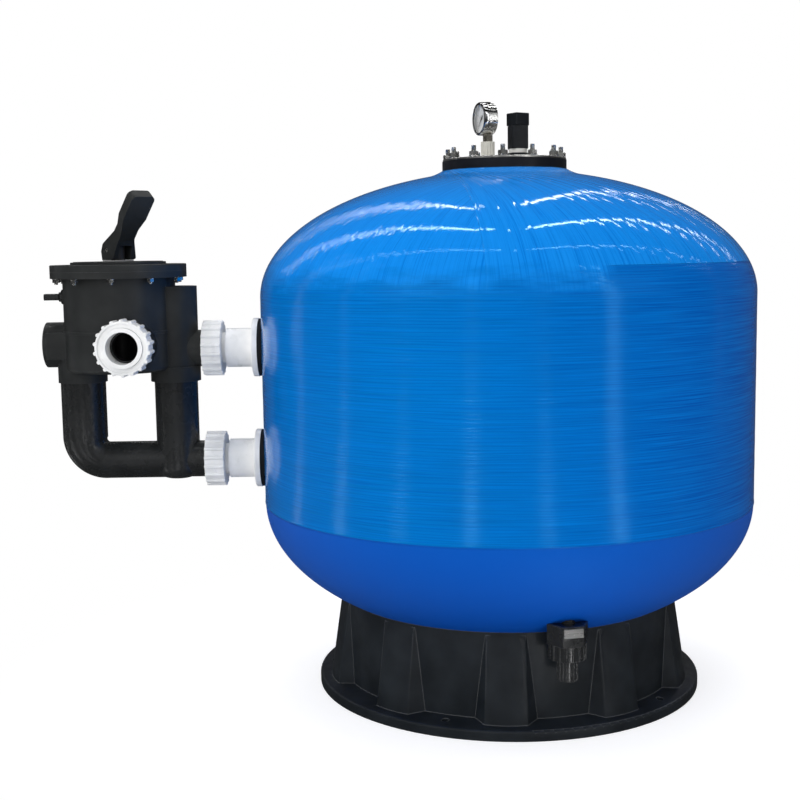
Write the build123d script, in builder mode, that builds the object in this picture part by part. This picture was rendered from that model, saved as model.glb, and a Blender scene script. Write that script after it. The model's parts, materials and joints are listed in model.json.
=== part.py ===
from build123d import *
import os
from math import acos, asin, cos, degrees, radians, sin

os.makedirs("parts", exist_ok=True)


def save(piece, label):
    """Name one piece and write it out as its own STEP file."""
    piece.part.label = label
    export_step(piece.part, f"parts/{label}.step")


def disc(plane, radius, length, mode=Mode.ADD):
    """A round bar of one radius that grows from the plane along its normal."""
    with BuildSketch(plane) as outline:
        Circle(radius)
    extrude(outline.sketch, amount=length, mode=mode)


def tube(plane, radius, bore, length):
    """A round tube that grows from the plane along its normal."""
    with BuildSketch(plane) as outline:
        Circle(radius)
        Circle(bore, mode=Mode.SUBTRACT)
    extrude(outline.sketch, amount=length)


def gripped(plane, radius, length, ribs, rib_radius, mode=Mode.ADD):
    """A round bar with half-round grip ribs along its length."""
    with BuildSketch(plane) as outline:
        Circle(radius)
        with PolarLocations(radius, ribs):
            Circle(rib_radius)
    extrude(outline.sketch, amount=length, mode=mode)


def hexagon(plane, across_flats, length, mode=Mode.ADD):
    """A hexagonal bar given by its width across the flats."""
    with BuildSketch(plane) as outline:
        RegularPolygon(across_flats / 2, 6, major_radius=False)
    extrude(outline.sketch, amount=length, mode=mode)


def facing(x, y, z, direction):
    """A sketch plane at one point whose normal is the given direction."""
    return Plane(origin=(x, y, z), z_dir=direction)


# ---------------------------------------------------------------- tank shell
# Filament-wound glass-fibre vessel: a straight barrel between two flattened
# domes, stood on a moulded skirt. The origin is the centre of the foot.
tank_r = 500.0
tank_wall = 9.0
barrel_z0 = 385.0
barrel_z1 = 800.0
top_dome_h = 250.0
bottom_dome_h = 270.0
winding_step = 1.2
winding_z0 = 318.0
neck_boss_r = 121.0
neck_bore_r = 100.0
neck_face_z = barrel_z1 + top_dome_h - 2.0
shank_r = 44.0
slip_fit = 0.05
loose_fit = 0.3

# The side valve stands on the tank's -X side on two ports, one above the other.
lower_port_z = 468.0
port_pitch = 230.0
upper_port_z = lower_port_z + port_pitch

# The drain leaves the bottom dome straight down, just outside the skirt.
drain_azimuth = 11.5
drain_r = 0.784 * tank_r
drain_x = drain_r * sin(radians(drain_azimuth))
drain_y = -drain_r * cos(radians(drain_azimuth))
drain_shank_r = 14.0


def on_ellipse(radius, height, angle, centre_z):
    """A point on an upright ellipse centred on the tank's axis."""
    return (radius * cos(radians(angle)), centre_z + height * sin(radians(angle)))


def dome_arc(radius, height, centre_z, start, end):
    """A smooth curve along an upright ellipse from one angle to another."""
    steps = 10
    turn = 1 if end > start else -1
    angles = [start + (end - start) * n / steps for n in range(steps + 1)]
    points = [on_ellipse(radius, height, angle, centre_z) for angle in angles]
    tangents = [(-turn * radius * sin(radians(angle)), turn * height * cos(radians(angle)))
                for angle in (start, end)]
    Spline(points, tangents=tangents)


def vessel_profile(inset):
    """Half the outline of the vessel in the XZ plane, set in from its skin."""
    radius = tank_r - inset
    bottom = bottom_dome_h - inset
    top = top_dome_h - inset
    with BuildSketch(Plane.XZ) as outline:
        with BuildLine():
            dome_arc(radius, bottom, barrel_z0, -90, 0)
            Line((radius, barrel_z0), (radius, barrel_z1))
            dome_arc(radius, top, barrel_z1, 0, 90)
            Line((0, barrel_z1 + top), (0, barrel_z0 - bottom))
        make_face()
    return outline.sketch


with BuildPart() as tank_shell:
    gel_r = tank_r - winding_step
    gel_h = bottom_dome_h - winding_step
    inner_r = tank_r - tank_wall
    inner_top = top_dome_h - tank_wall
    inner_bottom = bottom_dome_h - tank_wall
    gel_end = -degrees(asin((barrel_z0 - winding_z0) / gel_h))
    wound_start = -degrees(asin((barrel_z0 - winding_z0) / bottom_dome_h))
    boss_angle = degrees(acos(neck_boss_r / tank_r))
    bore_angle = degrees(acos(neck_bore_r / inner_r))
    with BuildSketch(Plane.XZ) as wall_section:
        with BuildLine():
            dome_arc(gel_r, gel_h, barrel_z0, -90, gel_end)
            Line(on_ellipse(gel_r, gel_h, gel_end, barrel_z0),
                 on_ellipse(tank_r, bottom_dome_h, wound_start, barrel_z0))
            dome_arc(tank_r, bottom_dome_h, barrel_z0, wound_start, 0)
            Line((tank_r, barrel_z0), (tank_r, barrel_z1))
            dome_arc(tank_r, top_dome_h, barrel_z1, 0, boss_angle)
            Polyline(on_ellipse(tank_r, top_dome_h, boss_angle, barrel_z1), (neck_boss_r, neck_face_z),
                     (neck_bore_r, neck_face_z), on_ellipse(inner_r, inner_top, bore_angle, barrel_z1))
            dome_arc(inner_r, inner_top, barrel_z1, bore_angle, 0)
            Line((inner_r, barrel_z1), (inner_r, barrel_z0))
            dome_arc(inner_r, inner_bottom, barrel_z0, 0, -90)
            Line((0, barrel_z0 - inner_bottom), (0, barrel_z0 - gel_h))
        make_face()
    revolve(wall_section.sketch, axis=Axis.Z)
    for port_z in (lower_port_z, upper_port_z):
        disc(facing(-tank_r - 20, 0, port_z, (1, 0, 0)), shank_r + slip_fit, 80, Mode.SUBTRACT)
    disc(facing(drain_x, drain_y, barrel_z0 - bottom_dome_h, (0, 0, 1)), drain_shank_r + slip_fit, 200,
         Mode.SUBTRACT)
save(tank_shell, "tank_shell")

# ----------------------------------------------------------------- base skirt
# One black moulding: a flat foot ring, a thin upright wall and ten flared
# pads that stand proud of it. Five holes in the foot take floor anchors.
skirt_r = 0.69 * tank_r
foot_r = skirt_r + 49.0
foot_inner_r = skirt_r - 27.0
foot_h = 20.0
skirt_wall = 6.0
skirt_top_z = 196.0
pad_count = 10
pad_first = -5.0
pad_foot_r = foot_r - 20.0
pad_top_r = skirt_r + 4.0
pad_edge_z = 160.0
pad_top_z = 184.0
pad_foot_face = 80.0
pad_foot_root = 122.0
pad_top_face = 72.0
pad_top_root = 86.0
anchor_count = 5
anchor_circle_r = foot_r - 28.0
anchor_hole_r = 7.0
anchor_first = pad_first - 18.0


def pad_outline(height, face_r, root_r, face_width, root_width):
    """The plan of one pad at a height: a wedge with a curved outer face."""
    with BuildSketch(Plane.XY.offset(height)) as outline:
        with BuildLine():
            Polyline((root_r, -root_width / 2), (face_r - 4, -face_width / 2))
            ThreePointArc((face_r - 4, -face_width / 2), (face_r, 0), (face_r - 4, face_width / 2))
            Polyline((face_r - 4, face_width / 2), (root_r, root_width / 2), (root_r, -root_width / 2))
        make_face()
    return outline.sketch


with BuildPart() as pad_shape:
    loft([pad_outline(foot_h - 6, pad_foot_r, skirt_r - 8, pad_foot_face, pad_foot_root),
          pad_outline(pad_top_z, pad_top_r, skirt_r - 8, pad_top_face, pad_top_root)])
    split(bisect_by=Plane(origin=(pad_top_r + 1, 0, pad_edge_z), z_dir=(pad_top_z - pad_edge_z, 0, 6)),
          keep=Keep.BOTTOM)
    fillet(pad_shape.edges().filter_by(lambda e: e.center().X > skirt_r
                                       and abs((e @ 1 - e @ 0).Z) > pad_edge_z / 2), radius=4)

with BuildPart() as pad_hollow:
    loft([pad_outline(-1, pad_foot_r - skirt_wall, skirt_r - 20, pad_foot_face - 12, pad_foot_root - 14),
          pad_outline(pad_edge_z - skirt_wall, pad_top_r - skirt_wall, skirt_r - 20,
                      pad_top_face - 12, pad_top_root - 14)])

with BuildPart() as tank_base:
    with BuildSketch(Plane.XZ):
        with BuildLine():
            Polyline((foot_inner_r, 0), (foot_r, 0), (foot_r, foot_h - 5))
            ThreePointArc((foot_r, foot_h - 5), (foot_r - 1.5, foot_h - 1.5), (foot_r - 5, foot_h))
            Polyline((foot_r - 5, foot_h), (skirt_r, foot_h + 5), (skirt_r, skirt_top_z),
                     (skirt_r - skirt_wall, skirt_top_z), (skirt_r - skirt_wall, foot_h),
                     (foot_inner_r, foot_h), (foot_inner_r, 0))
        make_face()
    revolve(axis=Axis.Z)
    for number in range(pad_count):
        turn = pad_first - 90 + number * 360 / pad_count
        add(pad_shape.part.rotate(Axis.Z, turn))
    for number in range(pad_count):
        turn = pad_first - 90 + number * 360 / pad_count
        add(pad_hollow.part.rotate(Axis.Z, turn), mode=Mode.SUBTRACT)
    revolve(vessel_profile(winding_step - loose_fit), axis=Axis.Z, mode=Mode.SUBTRACT)
    with BuildSketch(Plane.XY) as anchor_holes:
        with PolarLocations(anchor_circle_r, anchor_count, start_angle=anchor_first - 90):
            Circle(anchor_hole_r)
    extrude(amount=foot_h + 10, mode=Mode.SUBTRACT)
save(tank_base, "tank_base")

# ------------------------------------------------------------ neck and closure
# A black collar round the neck holds twelve studs; a steel plate is bolted
# down on them over a flat seal.
collar_r = 125.5
collar_skirt_z = neck_face_z - 4.5
plate_z0 = neck_face_z + 20.0
plate_t = 4.0
plate_r = 124.5
plate_z1 = plate_z0 + plate_t
stud_count = 12
stud_first = -6.0
stud_circle_r = 114.0
stud_r = 5.0
stud_z0 = neck_face_z + 4
stud_z1 = plate_z1 + 22.0
washer_t = 2.0
washer_r = 10.0
nut_af = 17.0
nut_t = 8.4
seal_groove_d = 2.0
seal_r0 = 101.5
seal_r1 = 106.5
gauge_x = -33.0
vent_x = 28.0
gauge_thread_r = 6.5
vent_thread_r = 11.0

with BuildPart() as neck_collar:
    tube(Plane.XY.offset(neck_face_z), collar_r, neck_bore_r, plate_z0 - neck_face_z)
    tube(Plane.XY.offset(collar_skirt_z), collar_r, neck_boss_r + loose_fit, neck_face_z - collar_skirt_z)
    with BuildSketch(Plane.XY.offset(plate_z0 - seal_groove_d)):
        Circle(seal_r1)
        Circle(seal_r0, mode=Mode.SUBTRACT)
    extrude(amount=seal_groove_d, mode=Mode.SUBTRACT)
    with BuildSketch(Plane.XY.offset(stud_z0)):
        with PolarLocations(stud_circle_r, stud_count, start_angle=stud_first - 90):
            Circle(stud_r + slip_fit)
    extrude(amount=plate_z0 - stud_z0, mode=Mode.SUBTRACT)
save(neck_collar, "neck_collar")

with BuildPart() as neck_seal:
    tube(Plane.XY.offset(plate_z0 - seal_groove_d), seal_r1 - slip_fit, seal_r0 + slip_fit, seal_groove_d)
save(neck_seal, "neck_seal")

with BuildPart() as lid_plate:
    disc(Plane.XY.offset(plate_z0), plate_r, plate_t)
    fillet(lid_plate.edges().group_by(Axis.Z)[-1], radius=1.2)
    with BuildSketch(Plane.XY.offset(plate_z0)):
        with PolarLocations(stud_circle_r, stud_count, start_angle=stud_first - 90):
            Circle(stud_r + 0.5)
        with Locations((gauge_x, 0)):
            Circle(gauge_thread_r + slip_fit)
        with Locations((vent_x, 0)):
            Circle(vent_thread_r + slip_fit)
    extrude(amount=plate_t, mode=Mode.SUBTRACT)
save(lid_plate, "lid_plate")

with BuildPart() as lid_studs:
    with BuildSketch(Plane.XY.offset(stud_z0)):
        with PolarLocations(stud_circle_r, stud_count, start_angle=stud_first - 90):
            Circle(stud_r)
    extrude(amount=stud_z1 - stud_z0)
    chamfer(lid_studs.edges().group_by(Axis.Z)[-1], length=0.8)
save(lid_studs, "lid_studs")

with BuildPart() as lid_washers:
    with BuildSketch(Plane.XY.offset(plate_z1)):
        with PolarLocations(stud_circle_r, stud_count, start_angle=stud_first - 90):
            Circle(washer_r)
            Circle(stud_r + loose_fit, mode=Mode.SUBTRACT)
    extrude(amount=washer_t)
save(lid_washers, "lid_washers")

with BuildPart() as lid_nuts:
    with BuildSketch(Plane.XY.offset(plate_z1 + washer_t)):
        with PolarLocations(stud_circle_r, stud_count, start_angle=stud_first - 90):
            RegularPolygon(nut_af / 2, 6, major_radius=False)
            Circle(stud_r + slip_fit, mode=Mode.SUBTRACT)
    extrude(amount=nut_t)
save(lid_nuts, "lid_nuts")

# -------------------------------------------------------------- pressure gauge
# A 63 mm dial gauge on a ribbed adaptor. Its dial looks to the side, over the
# valve, and its case is closed by a bayonet bezel over a glass.
gauge_facing = 19.0
dial_dir = (-cos(radians(gauge_facing)), -sin(radians(gauge_facing)), 0)
dial_right = (sin(radians(gauge_facing)), -cos(radians(gauge_facing)), 0)
gauge_z = plate_z1 + 80.4
case_back = -9.8
case_front = 17.0
case_r = 31.0
case_wall = 1.2
bezel_r = 33.2
bezel_front = 20.6
adaptor_r = 12.6
adaptor_top_z = plate_z1 + 35.0
adaptor_flange_r = 15.0
adaptor_flange_t = 6.0
stem_square = 14.0
stem_in_case_r = 6.0
spindle_r = 1.2
dial_at = 11.6
dial_t = 0.8
needle_at = 13.6
needle_t = 0.7
glass_at = 16.4
glass_t = 3.0
glass_r = 29.6
zero_angle = 225.0
bourdon_r = 21.0


def on_gauge(depth):
    """A plane across the gauge at a depth from its stem axis."""
    origin = (gauge_x + dial_dir[0] * depth, dial_dir[1] * depth, gauge_z)
    return Plane(origin=origin, x_dir=dial_right, z_dir=dial_dir)


with BuildPart() as gauge_adaptor:
    gripped(Plane((gauge_x, 0, plate_z1 + adaptor_flange_t)), adaptor_r,
            adaptor_top_z - plate_z1 - adaptor_flange_t, 14, 1.4)
    disc(Plane((gauge_x, 0, plate_z1)), adaptor_flange_r, adaptor_flange_t)
    disc(Plane((gauge_x, 0, plate_z0 - 8)), gauge_thread_r, plate_z1 - plate_z0 + 8)
    disc(Plane((gauge_x, 0, plate_z0 - 8)), 3, 60, Mode.SUBTRACT)
    disc(Plane((gauge_x, 0, adaptor_top_z - 16)), gauge_thread_r + slip_fit, 16, Mode.SUBTRACT)
save(gauge_adaptor, "gauge_adaptor")

with BuildPart() as gauge_stem:
    disc(Plane((gauge_x, 0, adaptor_top_z - 15)), gauge_thread_r, 15)
    with BuildSketch(Plane((gauge_x, 0, adaptor_top_z), x_dir=dial_right, z_dir=(0, 0, 1))) as square:
        Rectangle(stem_square, stem_square, rotation=12)
    extrude(square.sketch, amount=gauge_z - case_r - 1 - adaptor_top_z)
    disc(Plane((gauge_x, 0, adaptor_top_z)), stem_in_case_r, gauge_z - 12 - adaptor_top_z)
    with BuildSketch(on_gauge(-3)) as coil_socket:
        with Locations((2, -18.5)):
            Rectangle(15, 7)
    extrude(coil_socket.sketch, amount=10)
    disc(Plane((gauge_x, 0, adaptor_top_z - 15)), 2, 36, Mode.SUBTRACT)
save(gauge_stem, "gauge_stem")

with BuildPart() as gauge_case:
    disc(on_gauge(case_back), case_r, case_front - case_back)
    disc(on_gauge(case_back + case_wall), case_r - case_wall, case_front - case_back, Mode.SUBTRACT)
    disc(Plane((gauge_x, 0, gauge_z - case_r - 4)), stem_in_case_r + slip_fit, 12, Mode.SUBTRACT)
    disc(Plane((gauge_x, 0, gauge_z + case_r - 6)), 4 + slip_fit, 12, Mode.SUBTRACT)
save(gauge_case, "gauge_case")

with BuildPart() as gauge_fill_plug:
    disc(Plane((gauge_x, 0, gauge_z + case_r - 3)), 4, 5)
    disc(Plane((gauge_x, 0, gauge_z + case_r + 0.1)), 6.5, 2)
save(gauge_fill_plug, "gauge_fill_plug")

with BuildPart() as bourdon_tube:
    with BuildLine(on_gauge(2)) as coil:
        CenterArc((0, 0), bourdon_r, -60, 240)
    with BuildSketch(Plane(origin=coil.line @ 0, x_dir=dial_dir, z_dir=coil.line % 0)) as bore_shape:
        Ellipse(4, 1.8)
    sweep(bore_shape.sketch, path=coil.line)
save(bourdon_tube, "bourdon_tube")

with BuildPart() as gauge_movement:
    with BuildSketch(on_gauge(5)) as plate:
        RectangleRounded(22, 16, 2)
    extrude(plate.sketch, amount=dial_at - 7)
    disc(on_gauge(dial_at - 2), 2.2, 2)
    disc(on_gauge(dial_at - 2), spindle_r, needle_at + needle_t + 0.6 - dial_at + 2)
    with BuildSketch(on_gauge(2)) as bracket:
        with Locations((0, -12)):
            Rectangle(8, 10)
    extrude(bracket.sketch, amount=6)
    disc(Plane((gauge_x, 0, gauge_z - 24)), stem_in_case_r + slip_fit, 12 + slip_fit, Mode.SUBTRACT)
    with BuildSketch(on_gauge(-4)) as clear_socket:
        with Locations((2, -18.5)):
            Rectangle(15.2, 7.2)
    extrude(clear_socket.sketch, amount=12, mode=Mode.SUBTRACT)
save(gauge_movement, "gauge_movement")

with BuildPart() as gauge_dial:
    tube(on_gauge(dial_at), case_r - case_wall - 0.2, spindle_r + 0.8, dial_t)
save(gauge_dial, "gauge_dial")

with BuildPart() as gauge_needle:
    with BuildSketch(on_gauge(needle_at)) as pointer:
        Circle(3)
        with BuildLine(mode=Mode.PRIVATE) as blade:
            Polyline((-9, -1.4), (0, -1.2), (21, -0.35), (21, 0.35), (0, 1.2), (-9, 1.4), (-9, -1.4))
        make_face(blade.line.rotate(Axis.Z, zero_angle))
        Circle(spindle_r + slip_fit, mode=Mode.SUBTRACT)
    extrude(pointer.sketch, amount=needle_t)
save(gauge_needle, "gauge_needle")

with BuildPart() as gauge_lens:
    disc(on_gauge(glass_at), glass_r, glass_t)
save(gauge_lens, "gauge_lens")

with BuildPart() as gauge_bezel:
    with BuildSketch(Plane.XZ) as section:
        with BuildLine():
            Polyline((case_r + slip_fit, 9), (bezel_r - 0.8, 9), (bezel_r, 10), (bezel_r, bezel_front - 3))
            RadiusArc((bezel_r, bezel_front - 3), (bezel_r - 3.2, bezel_front), -3.2)
            Polyline((bezel_r - 3.2, bezel_front), (27.4, bezel_front - 1), (27.4, bezel_front - 1.15),
                     (case_r + slip_fit, bezel_front - 1.15), (case_r + slip_fit, 9))
        make_face()
    revolve(section.sketch, axis=Axis.Z)
gauge_bezel.part = on_gauge(0) * gauge_bezel.part
save(gauge_bezel, "gauge_bezel")

# ------------------------------------------------------------------- air vent
# A square black bleed post: its cap unscrews a few turns to let air out.
vent_seat_z = plate_z1 + 20.0
vent_side = 34.0
vent_top_z = vent_seat_z + 46.0
vent_turn = 12.6
vent_cap_side = 33.4
vent_cap_turn = 32.0
vent_cap_top_z = vent_top_z + 25.0
vent_spigot_r = 12.5
vent_spigot_z = vent_top_z + 19.0
locknut_af = 36.0
locknut_t = 12.0
vent_washer_r = 18.6
vent_seal_t = 2.0

with BuildPart() as vent_locknut:
    hexagon(Plane((vent_x, 0, plate_z1)), locknut_af, locknut_t)
    disc(Plane((vent_x, 0, plate_z1)), vent_thread_r + slip_fit, locknut_t, Mode.SUBTRACT)
save(vent_locknut, "vent_locknut")

with BuildPart() as vent_washer:
    tube(Plane((vent_x, 0, plate_z1 + locknut_t)), vent_washer_r, vent_thread_r + slip_fit,
         vent_seat_z - plate_z1 - locknut_t)
    fillet(vent_washer.edges().filter_by(GeomType.CIRCLE).sort_by(Axis.Z)[-1:], radius=1)
save(vent_washer, "vent_washer")

with BuildPart() as vent_body:
    with BuildSketch(Plane.XY.offset(vent_seat_z)) as post:
        with Locations((vent_x, 0)):
            RectangleRounded(vent_side, vent_side, 2.5, rotation=vent_turn)
    extrude(post.sketch, amount=vent_top_z - vent_seat_z)
    disc(Plane((vent_x, 0, vent_top_z)), vent_spigot_r, vent_spigot_z - vent_top_z)
    disc(Plane((vent_x, 0, plate_z0 - 10)), vent_thread_r, vent_seat_z - plate_z0 + 10)
    disc(Plane((vent_x, 0, plate_z0 - 10)), 4, 120, Mode.SUBTRACT)
save(vent_body, "vent_body")

with BuildPart() as vent_seal:
    tube(Plane((vent_x, 0, vent_spigot_z + 0.1)), vent_spigot_r - 0.3, 5, vent_seal_t)
save(vent_seal, "vent_seal")

with BuildPart() as vent_cap:
    with BuildSketch(Plane.XY.offset(vent_top_z + loose_fit)) as block:
        with Locations((vent_x, 0)):
            RectangleRounded(vent_cap_side, vent_cap_side, 2, rotation=vent_cap_turn)
    extrude(block.sketch, amount=vent_cap_top_z - vent_top_z - loose_fit)
    chamfer(vent_cap.edges().group_by(Axis.Z)[-1], length=1)
    disc(Plane((vent_x, 0, vent_top_z)), vent_spigot_r + slip_fit,
         vent_spigot_z + vent_seal_t + 0.2 - vent_top_z, Mode.SUBTRACT)
save(vent_cap, "vent_cap")

# ------------------------------------------------- multiport valve, side mounted
# Body, lid and U-shaped port loop are black mouldings. The valve's upright axis
# stands off the tank's -X side; its rotor is turned by the lever on top.
valve_x = -(tank_r + 290.0)
drum_r = 113.0
drum_z0 = 655.0
flange_z0 = 845.0
flange_z1 = 858.0
flange_r = 137.0
chamber_r = 103.0
deck_z0 = 760.0
deck_z1 = 775.0
body_bore_z0 = 666.0
bead_z = 736.0
left_leg_x = valve_x - 82.0
left_leg_r = 45.5
left_collar_r = 49.5
right_leg_x = valve_x + 110.0
right_leg_r = 44.0
right_collar_r = 51.0
collar_z0 = 632.0
socket_z = 658.0
column_r = 48.0
column_top_z = 826.0
side_port_z = 709.0
side_port_r = 46.4
side_port_x = valve_x - 151.0
back_port_y = 165.0
pump_x = valve_x + 35.0
pump_z = 711.0
pump_thread_r = 46.0
pump_thread_y = -150.0
pipe_r = 31.5
pipe_bore = pipe_r + 0.1
socket_d = 40.0
tank_port_r = 37.5
tank_port_x = -(tank_r + 100.0)
plug_z = 807.0
plug_r = 8.0
wing_t = 13.0
wing_w = 24.0
bolt_count = 10
bolt_first = 5.0
bolt_circle_r = 126.0
bolt_r = 4.0
lid_oring_r = 111.0
lid_oring_wire = 1.9
bolt_hole_r = bolt_r + 0.4
web_t = 6.0
waterway_r = 28.0
leg_waterway_r = 35.0
port_count = 6
port_first = 15.0
centre_post_r = 34.0
window_r0 = centre_post_r + 10.0
window_r1 = 88.0
window_web = 20.0
window_mid = (window_r0 + window_r1) / 2
register_r = 38.0
register_d = 25.0
port_bore_d = 90.0

with BuildPart() as valve_body:
    disc(Plane((valve_x, 0, drum_z0)), drum_r, flange_z1 - drum_z0)
    fillet(valve_body.edges().group_by(Axis.Z)[0], radius=10)
    disc(Plane((valve_x, 0, bead_z - 3)), drum_r + 2, 6)
    disc(Plane((valve_x, 0, flange_z0)), flange_r, flange_z1 - flange_z0)
    disc(Plane((left_leg_x, 0, collar_z0)), left_collar_r, 58)
    disc(Plane((right_leg_x, 0, collar_z0)), right_collar_r, 30)
    disc(Plane((right_leg_x, 0, collar_z0)), column_r, column_top_z - collar_z0)
    disc(facing(valve_x, 0, side_port_z, (-1, 0, 0)), side_port_r, valve_x - side_port_x)
    with BuildSketch(facing(valve_x, 0, side_port_z, (-1, 0, 0))) as ledge:
        with Locations((0, side_port_r - 6)):
            Rectangle(54, 12)
    extrude(ledge.sketch, amount=valve_x - side_port_x - 8)
    disc(facing(valve_x, 0, side_port_z, (0, 1, 0)), side_port_r, back_port_y)
    disc(facing(pump_x, 0, pump_z, (0, -1, 0)), pump_thread_r + 6, 116)
    disc(facing(pump_x, 0, pump_z, (0, -1, 0)), pump_thread_r, -pump_thread_y)
    disc(facing(right_leg_x, 0, upper_port_z, (1, 0, 0)), tank_port_r, tank_port_x - right_leg_x)
    disc(facing(valve_x, 0, plug_z, (-1, 0, 0)), 15, drum_r + 5)
    # rotor chamber above the deck, six port chambers below it
    disc(Plane((valve_x, 0, deck_z1)), chamber_r, flange_z1 - deck_z1, Mode.SUBTRACT)
    with BuildSketch(Plane((valve_x, 0, body_bore_z0))) as chambers:
        Circle(chamber_r)
        Circle(centre_post_r, mode=Mode.SUBTRACT)
        with PolarLocations((centre_post_r + chamber_r) / 2, port_count, start_angle=port_first):
            Rectangle(chamber_r - centre_post_r + 10, web_t, mode=Mode.SUBTRACT)
    extrude(chambers.sketch, amount=deck_z0 - body_bore_z0, mode=Mode.SUBTRACT)
    with BuildSketch(Plane((valve_x, 0, deck_z0))) as windows:
        Circle(window_r1)
        Circle(window_r0, mode=Mode.SUBTRACT)
        with PolarLocations(window_mid, port_count, start_angle=port_first):
            Rectangle(window_r1 - window_r0 + 6, window_web, mode=Mode.SUBTRACT)
    extrude(windows.sketch, amount=deck_z1 - deck_z0, mode=Mode.SUBTRACT)
    # sockets and bores of the ports
    disc(Plane((left_leg_x, 0, collar_z0)), left_leg_r + slip_fit, socket_z - collar_z0, Mode.SUBTRACT)
    disc(Plane((left_leg_x, 0, collar_z0)), leg_waterway_r, 52, Mode.SUBTRACT)
    disc(Plane((right_leg_x, 0, collar_z0)), right_leg_r + slip_fit, socket_z - collar_z0, Mode.SUBTRACT)
    disc(Plane((right_leg_x, 0, collar_z0)), leg_waterway_r, 118, Mode.SUBTRACT)
    disc(facing(right_leg_x, 0, upper_port_z, (1, 0, 0)), waterway_r, tank_port_x - right_leg_x,
         Mode.SUBTRACT)
    disc(facing(side_port_x, 0, side_port_z, (1, 0, 0)), pipe_bore, socket_d, Mode.SUBTRACT)
    disc(facing(side_port_x, 0, side_port_z, (1, 0, 0)), waterway_r, port_bore_d, Mode.SUBTRACT)
    disc(facing(valve_x, back_port_y, side_port_z, (0, -1, 0)), pipe_bore, socket_d, Mode.SUBTRACT)
    disc(facing(valve_x, back_port_y, side_port_z, (0, -1, 0)), waterway_r, port_bore_d, Mode.SUBTRACT)
    disc(facing(pump_x, pump_thread_y, pump_z, (0, 1, 0)), register_r, register_d, Mode.SUBTRACT)
    disc(facing(pump_x, pump_thread_y, pump_z, (0, 1, 0)), waterway_r, port_bore_d, Mode.SUBTRACT)
    disc(facing(valve_x - drum_r - 5, 0, plug_z, (1, 0, 0)), plug_r + slip_fit, 20, Mode.SUBTRACT)
    # groove for the seal ring and holes for the lid bolts
    with BuildSketch(Plane((valve_x, 0, flange_z1 - 2 * lid_oring_wire))) as groove:
        Circle(lid_oring_r + lid_oring_wire + slip_fit)
        Circle(lid_oring_r - lid_oring_wire - slip_fit, mode=Mode.SUBTRACT)
    extrude(groove.sketch, amount=2 * lid_oring_wire, mode=Mode.SUBTRACT)
    with BuildSketch(Plane((valve_x, 0, flange_z0))) as holes:
        with PolarLocations(bolt_circle_r, bolt_count, start_angle=bolt_first - 90):
            Circle(bolt_hole_r)
    extrude(holes.sketch, amount=flange_z1 - flange_z0, mode=Mode.SUBTRACT)
save(valve_body, "valve_body")

loop_pipe_r = 38.0
loop_bend_r = 48.0
loop_bore_r = 30.0
loop_foot_r = 24.0

with BuildPart() as port_loop:
    disc(Plane((right_leg_x, 0, lower_port_z - loop_pipe_r)), right_leg_r,
         socket_z - loose_fit - lower_port_z + loop_pipe_r)
    fillet(port_loop.edges().group_by(Axis.Z)[0], radius=loop_foot_r)
    disc(Plane((left_leg_x, 0, lower_port_z + loop_bend_r)), left_leg_r,
         socket_z - loose_fit - lower_port_z - loop_bend_r)
    with BuildLine(Plane(origin=(left_leg_x + loop_bend_r, 0, lower_port_z + loop_bend_r),
                         x_dir=(1, 0, 0), z_dir=(0, -1, 0))) as bend:
        CenterArc((0, 0), loop_bend_r, 180, 90)
    with BuildSketch(Plane((left_leg_x, 0, lower_port_z + loop_bend_r))) as bend_top:
        Circle(left_leg_r)
    with BuildSketch(facing(left_leg_x + loop_bend_r, 0, lower_port_z, (1, 0, 0))) as bend_end:
        Circle(loop_pipe_r)
    sweep([bend_top.sketch, bend_end.sketch], path=bend.line, multisection=True)
    disc(facing(left_leg_x + loop_bend_r, 0, lower_port_z, (1, 0, 0)), loop_pipe_r,
         right_leg_x - left_leg_x - loop_bend_r)
    disc(facing(right_leg_x, 0, lower_port_z, (1, 0, 0)), tank_port_r, tank_port_x - right_leg_x)
    # one bore runs down the left leg, along the bottom and out to the tank
    disc(Plane((left_leg_x, 0, lower_port_z + loop_bend_r)), loop_bore_r, 200, Mode.SUBTRACT)
    with BuildSketch(Plane((left_leg_x, 0, lower_port_z + loop_bend_r))) as bend_bore:
        Circle(loop_bore_r)
    sweep(bend_bore.sketch, path=bend.line, mode=Mode.SUBTRACT)
    disc(facing(left_leg_x + loop_bend_r, 0, lower_port_z, (1, 0, 0)), waterway_r,
         tank_port_x - left_leg_x - loop_bend_r, Mode.SUBTRACT)
    disc(Plane((right_leg_x, 0, lower_port_z + 50)), 32, 200, Mode.SUBTRACT)
save(port_loop, "port_loop")

# Lid: a bolted cover with a raised centre, a recess for the spring and the
# bearing bore of the rotor stem.
lid_top_z = 872.0
crown_top_z = 877.0
crown_r = 96.0
recess_r = 98.0
recess_z = 866.0
hub_r = 17.0
hub_z0 = 852.0
stem_r = 14.0
stem_fit = 0.06
head_pocket_r = 8.6
head_pocket_z = 866.0
head_af = 13.0
head_t = 5.3
bolt_tip_z = 833.0
bolt_washer_t = 1.6
bolt_washer_r = 8.0
bolt_nut_t = 6.5

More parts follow.
